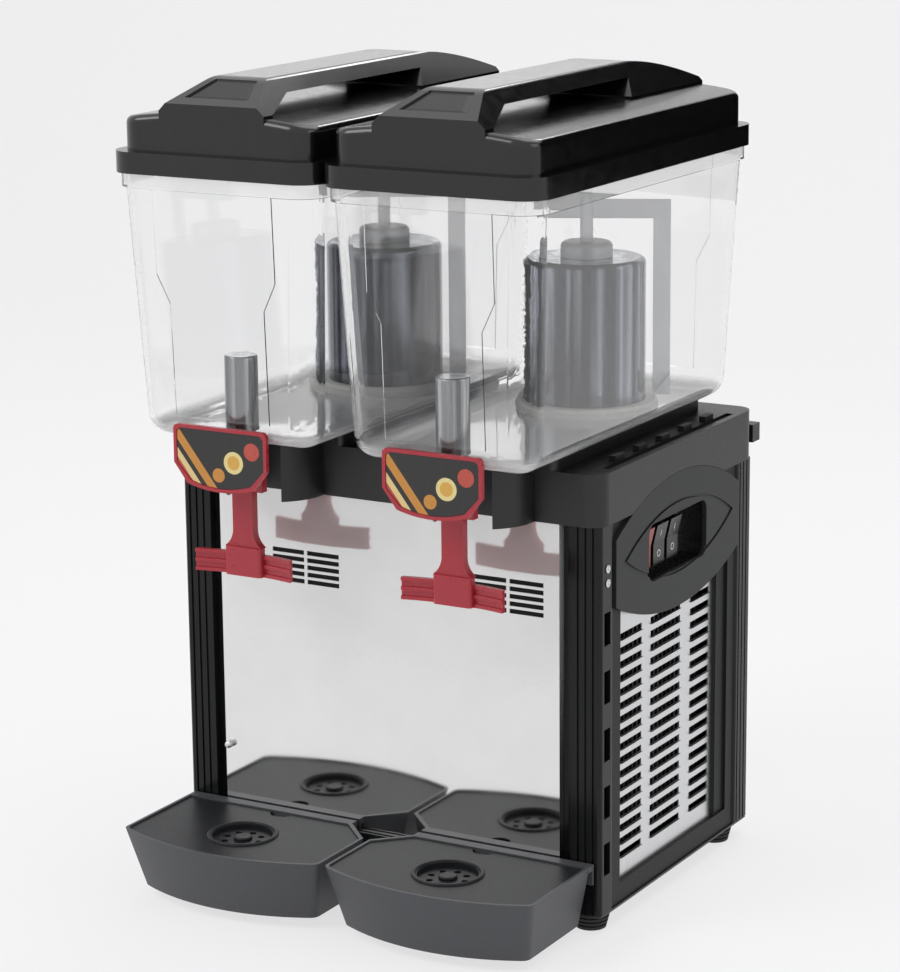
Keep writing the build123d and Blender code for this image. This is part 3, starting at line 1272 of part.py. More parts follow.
def fan_blade():
    hub = cross_rod(FAN_HUB_IN, FAN_HUB_OUT, FAN_Y, FAN_Z, FAN_HUB_DIAMETER)
    start = FAN_HUB_DIAMETER / 2 - BLADE_ROOT
    length = FAN_DIAMETER / 2 - start
    middle = (FAN_HUB_IN + FAN_HUB_OUT) / 2
    chord = FAN_HUB_LENGTH / sin(radians(BLADE_PITCH_ANGLE)) * BLADE_CHORD_SHARE
    outline = Pos(0, start + length / 2) * RectangleRounded(chord, length, chord / 3)
    vane = Pos(0, 0, -BLADE_THICKNESS / 2) * extrude(outline, BLADE_THICKNESS)
    vane = Rot(0, 90 - BLADE_PITCH_ANGLE, 0) * vane
    reach = cross_rod(-FAN_HUB_LENGTH, FAN_HUB_LENGTH, 0, 0, FAN_DIAMETER)
    for n in range(FAN_BLADES):
        turned = Rot(360.0 / FAN_BLADES * n, 0, 0) * (vane & reach)
        hub += Pos(middle, FAN_Y, FAN_Z) * turned
    bore = cross_rod(FAN_HUB_IN, FAN_HUB_OUT - FIT / 2, FAN_Y, FAN_Z, FAN_SPINDLE + 2 * RUNNING_FIT)
    return hub - bore


DRIER_Y = CABINET_FRONT + DRIER_SETBACK
DRIER_TOP = BASE_TOP + DRIER_LENGTH


def filter_drier():
    neck = DRIER_LENGTH / 8
    radius = DRIER_DIAMETER / 2
    small = (TUBE_DIAMETER + TUBE_SOCKET) / 2
    profile = make_face(Polyline((0, 0), (radius, 0), (radius, DRIER_LENGTH - 2 * neck),
                                 (small, DRIER_LENGTH - neck), (small, DRIER_LENGTH),
                                 (0, DRIER_LENGTH), close=True))
    return Pos(DRIER_X, DRIER_Y, BASE_TOP) * revolve(Plane.XZ * profile, Axis.Z)


def tube(points):
    """Copper tube on straight runs joined by bends."""
    path = FilletPolyline(*points, radius=TUBE_BEND)
    start = Plane(path @ 0, z_dir=path % 0)
    return sweep(start * Circle(TUBE_DIAMETER / 2), path)


def refrigerant_lines():
    """Hot gas to the condenser, liquid to the drier, and on to both evaporators and back."""
    front_port, rear_port = port_rows()
    over = PORT_TOP + 3 * TUBE_BEND
    high = CONDENSER_TOP + 2 * TUBE_BEND
    drop_x = (CONDENSER_IN + CONDENSER_OUT - FIN_DEPTH) / 2
    hot = tube([(PORT_X, front_port, PORT_TOP), (PORT_X, front_port, high),
                (drop_x, front_port, high), (drop_x, front_port, CONDENSER_TOP)])
    liquid = tube([(drop_x, DRIER_Y, CONDENSER_TOP), (drop_x, DRIER_Y, high),
                   (DRIER_X, DRIER_Y, high), (DRIER_X, DRIER_Y, DRIER_TOP)])
    under = GEARBOX_TOP - GEARBOX_HEIGHT
    rear = EVAPORATOR_Y + GEARBOX_DEPTH
    suction = tube([(PORT_X, rear_port, PORT_TOP), (PORT_X, rear_port, over), (PORT_X, rear, over),
                    (PORT_X, rear, under), (0, rear, under), (0, rear, PLATE_UNDER)])
    return [hot, liquid, suction]


def control_box():
    """Box with a groove round it where its lid closes."""
    y = CABINET_FRONT + BOX_SETBACK
    top = BASE_TOP + BOX_HEIGHT
    box = Pos(BOX_X, y, BASE_TOP) * extrude(Rectangle(BOX_WIDTH, BOX_LENGTH), BOX_HEIGHT)
    joint = Rectangle(BOX_WIDTH, BOX_LENGTH) - Rectangle(BOX_WIDTH - 2 * BOX_GROOVE, BOX_LENGTH - 2 * BOX_GROOVE)
    return box - Pos(BOX_X, y, top - 2 * BOX_LID) * extrude(joint, BOX_LID)


def thermostat():
    y = CABINET_FRONT + BOX_SETBACK
    low = BASE_TOP + BOX_HEIGHT
    half = THERMOSTAT_SIZE / 2
    body = block(BOX_X - half, BOX_X + half, y - half, y + half, low, low + THERMOSTAT_HEIGHT)
    top = low + THERMOSTAT_HEIGHT
    return body + rod(BOX_X, y, top, top + THERMOSTAT_KNOB_HEIGHT, THERMOSTAT_KNOB)


def panel_screws():
    """Knob of the front panel and the screw heads on the posts and the rear panel."""
    knob_x = -(POST_INNER - FIT - KNOB_INSET)
    knob = Cylinder(KNOB_DIAMETER / 2, KNOB_LENGTH)
    fasteners = [Pos(knob_x, CABINET_FRONT - KNOB_LENGTH / 2, KNOB_HEIGHT) * Rot(90, 0, 0) * knob]
    head = Cylinder(SCREW_DIAMETER / 2, SCREW_HEAD)
    y = CABINET_FRONT + POST_DEPTH / 2
    for z in (SCREW_LOW, SCREW_HIGH):
        for hand in (-1, 1):
            fasteners.append(Pos(hand * (SIDE + SCREW_HEAD / 2), y, z) * Rot(0, 90, 0) * head)
    rear = CABINET_REAR - POST_TONGUE_SETBACK + SCREW_HEAD / 2
    half = POST_INNER - FIT - SCREW_DIAMETER
    for x in (-half, half):
        for z in (BASE_TOP + 2 * SCREW_DIAMETER, DECK_LOW - 2 * SCREW_DIAMETER):
            fasteners.append(Pos(x, rear, z) * Rot(90, 0, 0) * head)
    return fasteners


def nodes():
    """Every piece under its own name."""
    parts = {
        "base_pan": base_pan(),
        "feet": feet(),
        "front_right_post": front_post(),
        "rear_right_post": rear_post(),
        "front_panel": front_panel(),
        "right_side_frame": right_side_frame(),
        "right_side_grille": side_grille(),
        "switch_bezel": switch_bezel(),
        "switch_housing": switch_housing(),
        "rear_panel": rear_panel(),
        "cable_gland": cable_gland(),
        "top_deck": top_deck(),
        "rear_spacers": rear_spacers(),
        "drip_tray_right": drip_tray(),
        "tray_cover_right": tray_cover(),
        "tray_hanger": tray_hanger(),
        "compressor": compressor(),
        "compressor_mounts": compressor_mounts(),
        "condenser": condenser(),
        "fan_shroud": fan_shroud(),
        "fan_motor": fan_motor(),
        "fan_blade": fan_blade(),
        "filter_drier": filter_drier(),
        "refrigerant_lines": refrigerant_lines(),
        "control_box": control_box(),
        "thermostat": thermostat(),
        "panel_screws": panel_screws(),
    }
    parts["front_left_post"] = mirrored(parts["front_right_post"])
    parts["rear_left_post"] = mirrored(parts["rear_right_post"])
    parts["left_side_frame"] = mirrored(side_frame())
    parts["left_side_grille"] = mirrored(parts["right_side_grille"])
    parts["drip_tray_left"] = mirrored(parts["drip_tray_right"])
    parts["tray_cover_left"] = mirrored(parts["tray_cover_right"])
    for number, y in enumerate(rocker_places(), start=1):
        parts[f"rocker_{number}"] = rocker(y)
    pair = {
        "bowl": bowl(), "bowl_seal": bowl_seal(), "lid": lid(), "lever": lever(),
        "lever_card": lever_card(), "lever_pin": lever_pin(), "tap_piston": tap_piston(),
        "piston_seal": piston_seal(), "evaporator": evaporator(), "drive_shaft": drive_shaft(),
        "gear_motor": gear_motor(), "agitator": agitator(),
    }
    for name, piece in pair.items():
        parts[f"{name}_left"] = at_bowl(piece, -1)
        parts[f"{name}_right"] = at_bowl(piece, 1)
    return parts


os.makedirs("parts", exist_ok=True)
for name, piece in nodes().items():
    shape = Compound(children=piece) if isinstance(piece, list) else piece
    export_step(shape, f"parts/{name}.step")
    size = shape.bounding_box().size
    print(f"{name}: {size.X:.1f} x {size.Y:.1f} x {size.Z:.1f} mm")
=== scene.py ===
# %% [markdown]
# # A twin bowl juice dispenser
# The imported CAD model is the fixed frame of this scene: every solid is already in its place, in metres.
# This lesson gives each solid the finish of the real material, adds the fine pieces that a solid
# model leaves out, and sets up the light and the camera.

# %% Load the frame
import json
import math
import bmesh
import bpy
import numpy as np
from mathutils import Matrix, Vector


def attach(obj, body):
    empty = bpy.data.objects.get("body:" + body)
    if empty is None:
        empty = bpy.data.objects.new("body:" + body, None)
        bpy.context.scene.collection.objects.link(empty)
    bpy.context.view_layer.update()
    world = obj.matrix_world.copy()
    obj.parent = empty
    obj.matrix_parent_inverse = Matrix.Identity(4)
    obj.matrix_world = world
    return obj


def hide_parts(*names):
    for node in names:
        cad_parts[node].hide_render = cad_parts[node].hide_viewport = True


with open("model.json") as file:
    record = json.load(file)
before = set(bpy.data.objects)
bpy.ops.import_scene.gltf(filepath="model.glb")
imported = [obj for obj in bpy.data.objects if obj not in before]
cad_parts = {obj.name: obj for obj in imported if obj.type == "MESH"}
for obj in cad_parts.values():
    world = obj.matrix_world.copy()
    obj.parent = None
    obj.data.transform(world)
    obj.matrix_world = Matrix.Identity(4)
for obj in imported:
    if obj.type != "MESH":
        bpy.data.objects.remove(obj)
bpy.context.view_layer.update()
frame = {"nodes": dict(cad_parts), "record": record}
nodes = frame["nodes"]
MM = 0.001

# %% [markdown]
# ## The camera
# The machine was seen from its front right, a little above. The lens is long, because the upright
# edges stay nearly parallel. Place, turn and focal length come from a fit of the box edges, so they are
# written as plain numbers: a position in millimetres, three angles and a focal length in pixels.

# %% Camera
IMAGE_HEIGHT = 972
CAMERA_PLACE = (1329.1, -2304.4, 980.9)
CAMERA_YAW = 0.51899
CAMERA_PITCH = 0.23404
CAMERA_ROLL = -0.00966
FOCAL_PIXELS = 3150.5
SENSOR = 36.0
FAR_CLIP = 50.0

camera_data = bpy.data.cameras.new("camera")
camera_data.sensor_fit = "VERTICAL"
camera_data.sensor_height = SENSOR
camera_data.lens = FOCAL_PIXELS * SENSOR / IMAGE_HEIGHT
camera_data.clip_end = FAR_CLIP
camera = bpy.data.objects.new("camera", camera_data)
bpy.context.scene.collection.objects.link(camera)
turn = Matrix.Rotation(CAMERA_YAW, 4, "Z") @ Matrix.Rotation(math.pi / 2 - CAMERA_PITCH, 4, "X")
turn = turn @ Matrix.Rotation(CAMERA_ROLL, 4, "Z")
camera.matrix_world = Matrix.Translation(Vector(CAMERA_PLACE) * MM) @ turn
bpy.context.scene.camera = camera
print("lens in mm:", round(camera_data.lens, 1))

# %% [markdown]
# ## The floor
# A pale sweep stands in for a studio table: flat under the machine, then curving up behind it. It could
# be two planes, but their corner would show as a line. It is a profile carried along X, so it is a grid
# of two parameters, and the first helper turns such grids into a mesh.

# %% Mesh from grids
MERGE_DISTANCE = 1e-7


def grid_mesh(name, grids, wrap_u=False, wrap_v=False, smooth=True):
    """Make one object from (rows, columns, 3) arrays: each cell of a grid becomes one face.

    A wrapped direction joins the last row or column to the first. Rows that shrink to one point, such as
    the middle of a disc, are merged afterwards, so poles are closed.
    """
    points = []
    faces = []
    count = 0
    for grid in grids:
        rows, columns = grid.shape[:2]
        index = count + np.arange(rows * columns).reshape(rows, columns)
        if wrap_u:
            index = np.concatenate([index, index[:1]], 0)
        if wrap_v:
            index = np.concatenate([index, index[:, :1]], 1)
        quads = np.stack([index[:-1, :-1], index[:-1, 1:], index[1:, 1:], index[1:, :-1]], -1)
        points.append(grid.reshape(-1, 3))
        faces.append(quads.reshape(-1, 4))
        count += rows * columns
    mesh = bpy.data.meshes.new(name)
    mesh.from_pydata(np.concatenate(points).tolist(), [], np.concatenate(faces).tolist())
    shape = bmesh.new()
    shape.from_mesh(mesh)
    bmesh.ops.remove_doubles(shape, verts=shape.verts, dist=MERGE_DISTANCE)
    shape.to_mesh(mesh)
    shape.free()
    mesh.polygons.foreach_set("use_smooth", np.full(len(mesh.polygons), smooth))
    mesh.update()
    piece = bpy.data.objects.new(name, mesh)
    bpy.context.scene.collection.objects.link(piece)
    return piece


print("grid helper ready")

# %% Floor
FLOOR_HALF = 12.0
FLOOR_FRONT = -12.0
FLOOR_BACK = 2.2
FLOOR_COLUMNS = 3
SWEEP_RADIUS = 1.2
SWEEP_STEPS = 24
WALL_TOP = 4.0

arc = np.linspace(-math.pi / 2, 0.0, SWEEP_STEPS)
profile_y = np.concatenate([[FLOOR_FRONT], FLOOR_BACK + SWEEP_RADIUS * np.cos(arc),
                            [FLOOR_BACK + SWEEP_RADIUS]])
profile_z = np.concatenate([[0.0], SWEEP_RADIUS + SWEEP_RADIUS * np.sin(arc), [WALL_TOP]])
floor_points = np.zeros((len(profile_y), FLOOR_COLUMNS, 3))
floor_points[..., 0] = np.linspace(FLOOR_HALF, -FLOOR_HALF, FLOOR_COLUMNS)[None, :]
floor_points[..., 1] = profile_y[:, None]
floor_points[..., 2] = profile_z[:, None]
floor = grid_mesh("studio_floor", [floor_points])
print("floor faces:", len(floor.data.polygons))

# %% [markdown]
# ## Nodes and colours
# Every finish is a small node tree. One function adds a node with its settings and links, and one turns
# the sRGB hex values of a paint chart into the linear numbers that a shader needs. Most surfaces are not
# one flat colour: handling and moulding leave clouds in colour and gloss, so one function makes those. On
# the steel drums and tubes the same clouds are painted reflections.

# %% Helpers for materials
CLOUD_DETAIL = 4.0
RELIEF_STRENGTH = 0.6


def linear(text):
    """sRGB hex to linear RGBA: the standard curve, with its straight foot near black."""
    srgb = np.array([int(text[i:i + 2], 16) / 255.0 for i in (1, 3, 5)])
    foot = srgb / 12.92
    curve = ((srgb + 0.055) / 1.055) ** 2.4
    return tuple(float(v) for v in np.where(srgb <= 0.04045, foot, curve)) + (1.0,)


def add(tree, kind, settings=None, inputs=None):
    """Add one node. An input may be a value, or another node's output socket, which is linked."""
    node = tree.nodes.new(kind)
    for key, value in (settings or {}).items():
        setattr(node, key, value)
    for key, value in (inputs or {}).items():
        if isinstance(value, bpy.types.NodeSocket):
            tree.links.new(value, node.inputs[key])
        else:
            node.inputs[key].default_value = value
    return node


def blank(name):
    """A material with an empty tree, its output, and the object's own coordinates."""
    material = bpy.data.materials.new(name)
    material.use_nodes = True
    tree = material.node_tree
    tree.nodes.clear()
    output = add(tree, "ShaderNodeOutputMaterial")
    place = add(tree, "ShaderNodeTexCoord").outputs["Object"]
    return material, tree, output, place


def wear_and_sheen_surface(name, base, wear_and_sheen_colour, roughness, cell_mm, bump_mm, stretch=(1, 1, 1), spread=(0.3, 0.7),
                 sockets=None):
    """A material whose colour and gloss drift over some millimetres, with a fine relief.

    base and the second colour are the two hex colours of the drift: wear and tone on most finishes, painted
    reflections on the steel drums and tubes. roughness is its low and high value, cell_mm the size of one
    cloud, bump_mm the height of the relief, and stretch draws the clouds out along an axis.
    spread is the range of the noise that the drift covers: a narrow one gives hard clouds. sockets are
    values for other sockets of the shader.
    """
    material, tree, output, place = blank(name)
    scaled = add(tree, "ShaderNodeMapping", None, {"Vector": place, "Scale": stretch}).outputs["Vector"]
    cloud = add(tree, "ShaderNodeTexNoise", None,
                {"Vector": scaled, "Scale": 1.0 / (cell_mm * MM), "Detail": CLOUD_DETAIL}).outputs["Fac"]
    drift = add(tree, "ShaderNodeMapRange", None,
                {"Value": cloud, "From Min": spread[0], "From Max": spread[1]}).outputs["Result"]
    colour = add(tree, "ShaderNodeMix", {"data_type": "RGBA"},
                 {"Factor": drift, "A": linear(base), "B": linear(wear_and_sheen_colour)})
    gloss = add(tree, "ShaderNodeMapRange", None,
                {"Value": drift, "To Min": roughness[0], "To Max": roughness[1]})
    surface = add(tree, "ShaderNodeBsdfPrincipled", None,
                  {"Base Color": colour.outputs["Result"], "Roughness": gloss.outputs["Result"]})
    if bump_mm:
        relief = add(tree, "ShaderNodeBump", None,
                     {"Height": cloud, "Distance": bump_mm * MM, "Strength": RELIEF_STRENGTH})
        tree.links.new(relief.outputs["Normal"], surface.inputs["Normal"])
    for key, value in (sockets or {}).items():
        surface.inputs[key].default_value = value
    tree.links.new(surface.outputs["BSDF"], output.inputs["Surface"])
    return material, tree, surface, place


print("helpers ready")

# %% [markdown]
# ## Stage finish and world
# The floor is plain matt paper and the world an even pale grey, because polished steel shows whatever
# stands in front of it. To the camera, and to rays that steel and clear plastic send on, both look almost
# white. All other rays meet a darker world, so the white ground costs no extra light on the machine, and
# part of the paper stays diffuse and keeps the shadow.

# %% Stage
PAPER_GLOW = 0.72
WORLD_LIGHT = 0.62
WORLD_SEEN = 0.98


def seen_rays(tree):
    """1 for rays from the camera, from a glossy surface or through a clear one, and 0 for the rest."""
    path = add(tree, "ShaderNodeLightPath")
    eye = add(tree, "ShaderNodeMath", {"operation": "MAXIMUM"},
              {0: path.outputs["Is Camera Ray"], 1: path.outputs["Is Glossy Ray"]})
    return add(tree, "ShaderNodeMath", {"operation": "MAXIMUM"},
               {0: eye.outputs[0], 1: path.outputs["Is Transmission Ray"]}).outputs[0]


paper, tree, output, _ = blank("matt_backdrop_paper")
diffuse = add(tree, "ShaderNodeBsdfDiffuse", None, {"Color": linear("#ececed")})
glow = add(tree, "ShaderNodeEmission", None, {"Color": linear("#fbfbfc"), "Strength": 1.0})
share = add(tree, "ShaderNodeMath", {"operation": "MULTIPLY"}, {0: seen_rays(tree), 1: PAPER_GLOW})
paper_mix = add(tree, "ShaderNodeMixShader", None,
                {0: share.outputs[0], 1: diffuse.outputs[0], 2: glow.outputs[0]})
tree.links.new(paper_mix.outputs[0], output.inputs["Surface"])
floor.data.materials.append(paper)

world = bpy.data.worlds.new("pale_studio")
bpy.context.scene.world = world
world.use_nodes = True
tree = world.node_tree
tree.nodes.clear()
strength = add(tree, "ShaderNodeMapRange", None,
               {"Value": seen_rays(tree), "To Min": WORLD_LIGHT, "To Max": WORLD_SEEN})
light = add(tree, "ShaderNodeBackground", None,
            {"Color": linear("#f8f8f9"), "Strength": strength.outputs["Result"]})
add(tree, "ShaderNodeOutputWorld", None, {"Surface": light.outputs["Background"]})
print("world strength, for light and as seen:", WORLD_LIGHT, WORLD_SEEN)

# %% [markdown]
# ## Lamps
# Three large soft lamps light the machine from the left, the right and above. Two narrow ones stand
# behind it and add little light: one draws a bright line along rounded black edges, and the other lies
# where the bowl floors mirror it, so that they get a sheen.

# %% Lamps
MACHINE_MIDDLE = (0.0, 0.0, 0.35)
BOWL_MIDDLE = (0.0, 0.0, 0.5)


def soft_lamp(name, place, aim, width, height, power):
    """A rectangular area lamp that looks at a point."""
    data = bpy.data.lights.new(name, "AREA")
    data.shape = "RECTANGLE"
    data.size = width
    data.size_y = height
    data.energy = power
    lamp = bpy.data.objects.new(name, data)
    bpy.context.scene.collection.objects.link(lamp)
    lamp.location = place
    lamp.rotation_euler = (Vector(aim) - Vector(place)).to_track_quat("-Z", "Y").to_euler()


soft_lamp("key_lamp", (-1.6, -1.9, 2.4), MACHINE_MIDDLE, width=1.6, height=1.6, power=34.0)
soft_lamp("side_lamp", (2.6, -0.2, 1.6), MACHINE_MIDDLE, width=1.4, height=1.4, power=7.0)
soft_lamp("top_lamp", (0.3, 0.8, 2.6), MACHINE_MIDDLE, width=1.8, height=1.8, power=20.0)
soft_lamp("rim_lamp", (-0.2, 1.9, 1.9), MACHINE_MIDDLE, width=0.4, height=0.25, power=3.0)
soft_lamp("sheen_lamp", (-1.77, 3.0, 1.26), BOWL_MIDDLE, width=1.0, height=0.16, power=0.8)
bpy.context.scene.view_settings.view_transform = "Standard"

# %% [markdown]
# ## A black flag
# Black gloss plastic shows its form by what it mirrors. A photographer stands a black card beside such
# an object, so that one flank goes dark against the pale ground. The card here leans behind the right
# side. Only glossy rays meet it: it casts no shadow and no view shows it.

# %% Flag
FLAG_NEAR = (0.08, 1.18)
FLAG_FAR = (1.75, 0.55)
FLAG_LOW = 0.42
FLAG_HIGH = 1.5

flag_points = np.zeros((2, 2, 3))
flag_points[0, :, :2] = FLAG_NEAR
flag_points[1, :, :2] = FLAG_FAR
flag_points[:, 0, 2] = FLAG_LOW
flag_points[:, 1, 2] = FLAG_HIGH
flag = grid_mesh("black_flag", [flag_points], smooth=False)
flag.visible_camera = False
flag.visible_diffuse = False
flag.visible_transmission = False
flag.visible_volume_scatter = False
flag.visible_shadow = False
felt, tree, output, _ = blank("black_felt")
diffuse = add(tree, "ShaderNodeBsdfDiffuse", None, {"Color": linear("#0c0c0c")})
tree.links.new(diffuse.outputs["BSDF"], output.inputs["Surface"])
flag.data.materials.append(felt)
print("flag faces:", len(flag.data.polygons))

# %% [markdown]
# ## Black and grey mouldings
# Deck, lids, posts and frames are plastic. The eye reads such plastic by its gloss, so one colour of black
# would not tell them apart. An etched mould leaves a dull grain that traps light, and a surface like that
# has a lowered mirror share. Drawn grain is a little coarser than life.

# %% Black plastics
DULL = {"Specular IOR Level": 0.22}
finishes = {}


def keep_finish(slot, name, base, wear_and_sheen_colour, **looks):
    """Make a surface of drifting colour, wear on most finishes and painted reflections on the steel drums
    and tubes, and keep it under the name of the slot that wears it.
    """
    finishes[slot] = wear_and_sheen_surface(name, base, wear_and_sheen_colour, **looks)[0]


# The deck's satin grain spreads a lamp into a soft grey patch.
keep_finish("deck_plastic", "satin_moulded_abs", "#161617", "#1d1d1e",
            roughness=(0.34, 0.46), cell_mm=1.6, bump_mm=0.02)
# The lids are nearly polished, so their edges carry clear glints.
keep_finish("lid_plastic", "glossy_moulded_abs", "#0b0b0c", "#101011",
            roughness=(0.16, 0.22), cell_mm=9.0, bump_mm=0.02,
            sockets={"Coat Weight": 0.2, "Coat Roughness": 0.06})
# Extrusion leaves faint upright lines on the posts.
keep_finish("post_plastic", "extruded_pvc", "#141516", "#1d1e1f",
            roughness=(0.16, 0.26), cell_mm=1.2, bump_mm=0.01, stretch=(1, 1, 0.02), sockets=DULL)
# The side frames have a dull etched grain, the bezel a paler one.
keep_finish("frame_plastic", "grained_abs", "#1c1d1e", "#242526",
            roughness=(0.42, 0.56), cell_mm=0.9, bump_mm=0.03, sockets=DULL)
keep_finish("bezel_plastic", "grained_abs_bezel", "#292a2b", "#313233",
            roughness=(0.36, 0.48), cell_mm=0.9, bump_mm=0.03, sockets=DULL)
# Switches are smooth and nearly polished, so they catch small sharp lights.
keep_finish("switch_plastic", "polished_switch_abs", "#0b0b0c", "#141415",
            roughness=(0.2, 0.3), cell_mm=4.0, bump_mm=0.01)
# The trays are a waxy dark grey, and their covers nearly black.
keep_finish("tray_plastic", "moulded_polypropylene", "#444548", "#4e4f53",
            roughness=(0.42, 0.55), cell_mm=1.4, bump_mm=0.03)
keep_finish("tray_cover_plastic", "moulded_polypropylene_cover", "#1b1c1e", "#232427",
            roughness=(0.34, 0.46), cell_mm=1.4, bump_mm=0.03, sockets=DULL)
# Rubber feet are matt, with hardly a highlight.
keep_finish("foot_rubber", "black_nitrile_rubber", "#161616", "#202020",
            roughness=(0.6, 0.75), cell_mm=1.0, bump_mm=0.04)
# Enamel on the motors, the base and the tray rail is smooth, with a slight orange peel.
keep_finish("motor_metal", "black_enamel", "#17181a", "#1f2022",
            roughness=(0.3, 0.42), cell_mm=6.0, bump_mm=0.03)
print("dark finishes:", len(finishes))

# %% [markdown]
# ## Red and pale mouldings
# The levers are through coloured red plastic. Paint would look harder: here a little light enters and
# comes out again, so thin wings look paler than the thick stem.

# %% Red and pale plastics
keep_finish("lever_plastic", "red_moulded_abs", "#ab2c39", "#ae303d",
            roughness=(0.26, 0.32), cell_mm=20.0, bump_mm=0.0,
            sockets={"Subsurface Weight": 0.3, "Subsurface Scale": 0.006})
# One rocker is a darker red with a clear shine.
keep_finish("red_switch_plastic", "red_switch_polycarbonate", "#8f2622", "#a3322c",
            roughness=(0.2, 0.3), cell_mm=4.0, bump_mm=0.01)
# The seals are milky silicone with a soft bloom.
keep_finish("seal_rubber", "silicone_rubber", "#d8d8d4", "#cbcbc7",
            roughness=(0.45, 0.55), cell_mm=3.0, bump_mm=0.02)
# Gear cases, fan blade and control box are glass filled nylon, which stays dull.
keep_finish("gearbox_plastic", "grey_nylon", "#2c2d2f", "#37383a",
            roughness=(0.45, 0.55), cell_mm=2.0, bump_mm=0.02)
print("plastics:", len(finishes))

# %% [markdown]
# ## Clear polycarbonate
# The bowls are moulded clear. A thin wall hardly bends what lies behind it, so the body has a low index,
# and a thin coat with the index of polycarbonate gives the gloss. The floor of each bowl is made milky
# white: a painted sheen, standing in for the pale light that the real floors mirror. The top band of the
# wall, from 620 mm up, is a little milky too. Haze is the part of the surface that scatters light instead
# of letting it through, so it is taken from the transmission by height. The stirrers are a milky grade of
# the same plastic.

# %% Clear plastics
BOWL_FLOOR_MM = 413.0
SHEEN_TOP_MM = 424.0
FLOOR_PAINTED_SHEEN = 0.6
RIM_LOW_MM = 620.0
RIM_STEP_MM = 1.0
RIM_HAZE = 0.16
BODY_INDEX = 1.34
COAT_INDEX = 1.58

material, tree, output, place = blank("clear_polycarbonate")
height = add(tree, "ShaderNodeSeparateXYZ", None, {"Vector": place}).outputs["Z"]
# The floor's milky white is a painted sheen: diffuse white in place of the light that the floor mirrors.
floor_clear = add(tree, "ShaderNodeMapRange", {"interpolation_type": "SMOOTHSTEP"},
                  {"Value": height, "From Min": BOWL_FLOOR_MM * MM, "From Max": SHEEN_TOP_MM * MM,
                   "To Min": 1.0 - FLOOR_PAINTED_SHEEN, "To Max": 1.0})
rim_haze = add(tree, "ShaderNodeMapRange", None,
               {"Value": height, "From Min": RIM_LOW_MM * MM, "From Max": (RIM_LOW_MM + RIM_STEP_MM) * MM,
                "To Min": 0.0, "To Max": RIM_HAZE})
clear_share = add(tree, "ShaderNodeMath", {"operation": "SUBTRACT"},
                  {0: floor_clear.outputs["Result"], 1: rim_haze.outputs["Result"]})
surface = add(tree, "ShaderNodeBsdfPrincipled", None,
              {"Base Color": linear("#fdfdfd"), "Roughness": 0.02, "IOR": BODY_INDEX,
               "Coat Weight": 0.25, "Coat IOR": COAT_INDEX, "Coat Roughness": 0.02,
               "Transmission Weight": clear_share.outputs[0]})
tree.links.new(surface.outputs["BSDF"], output.inputs["Surface"])
finishes["clear_bowl"] = material

keep_finish("clear_agitator", "milky_polycarbonate", "#dcddde", "#e4e5e6",
            roughness=(0.34, 0.4), cell_mm=20.0, bump_mm=0.0,
            sockets={"Transmission Weight": 0.55, "IOR": BODY_INDEX})
print("finishes with the clear ones:", len(finishes))

# %% [markdown]
# ## Metals
# The front panel is polished and shows the trays and the levers again. Towards the taps it is dulled by
# wiping, so its mirror image there has a pale veil: a part of the surface that scatters, more with
# height. The drums and tap tubes show upright bands, some of them dark. On the real ones many of these are
# things that the steel mirrors, and here they are painted into its colour as painted reflections. Lines
# from drawing and grinding are drawn coarser than life.

# %% Metals
VEIL_LOW_MM = 130.0
VEIL_HIGH_MM = 290.0
VEIL_SHARE = 0.5
METALLIC = {"Metallic": 1.0}

panel_steel, tree, surface, place = wear_and_sheen_surface(
    "polished_stainless_steel", "#e2e2e1", "#e8e8e7", roughness=(0.05, 0.08), cell_mm=60.0, bump_mm=0.004)
height = add(tree, "ShaderNodeSeparateXYZ", None, {"Vector": place}).outputs["Z"]
metal_share = add(tree, "ShaderNodeMapRange", {"interpolation_type": "SMOOTHSTEP"},
                  {"Value": height, "From Min": VEIL_LOW_MM * MM, "From Max": VEIL_HIGH_MM * MM,
                   "To Min": 1.0, "To Max": 1.0 - VEIL_SHARE})
tree.links.new(metal_share.outputs["Result"], surface.inputs["Metallic"])
finishes["wiped_panel_steel"] = panel_steel

# Ground tube: bright and dark lines along its length, mostly painted reflections over its grinding lines.
keep_finish("polished_steel", "ground_tube_painted_reflections", "#4c4e51", "#bdbfc1",
            roughness=(0.1, 0.18), cell_mm=7.0, bump_mm=0.006, stretch=(1, 1, 0.01), sockets=METALLIC)
# Grilles and the rear panel are brushed: bright, but they blur what they mirror.
keep_finish("satin_steel", "satin_stainless_steel", "#d6d7d8", "#e2e2e2",
            roughness=(0.3, 0.42), cell_mm=1.0, bump_mm=0.01, stretch=(1, 1, 0.03), sockets=METALLIC)
# Drum: wide hard edged bands from top to bottom, painted reflections of the dark and pale things round it.
keep_finish("drum_steel", "drum_steel_painted_reflections", "#1c1f26", "#a6aab3",
            roughness=(0.1, 0.18), cell_mm=13.0, bump_mm=0.01, stretch=(1, 1, 0.01), spread=(0.44, 0.68),
            sockets=METALLIC)
# The coat on the fins is dark and half dull.
keep_finish("condenser_metal", "black_coated_aluminium", "#17181a", "#212225",
            roughness=(0.35, 0.48), cell_mm=2.0, bump_mm=0.01, stretch=(1, 1, 0.1))
# Copper pipes are warm, with browner patches.
keep_finish("copper", "drawn_copper", "#c37a55", "#b06a48",
            roughness=(0.25, 0.4), cell_mm=5.0, bump_mm=0.01, sockets=METALLIC)
print("finishes with the metals:", len(finishes))

# %% [markdown]
# ## The printed cards
# Each lever holds a small coated card. The print is a plain design in warm colours: a dark field, slanted
# bands over one corner and three discs in a rising row. An image would do, but a worked out print stays
# sharp. It needs the height on the card and the distance to the middle of its lever. The levers are one
# pitch apart, so wrapping X by that pitch gives both cards the same print.

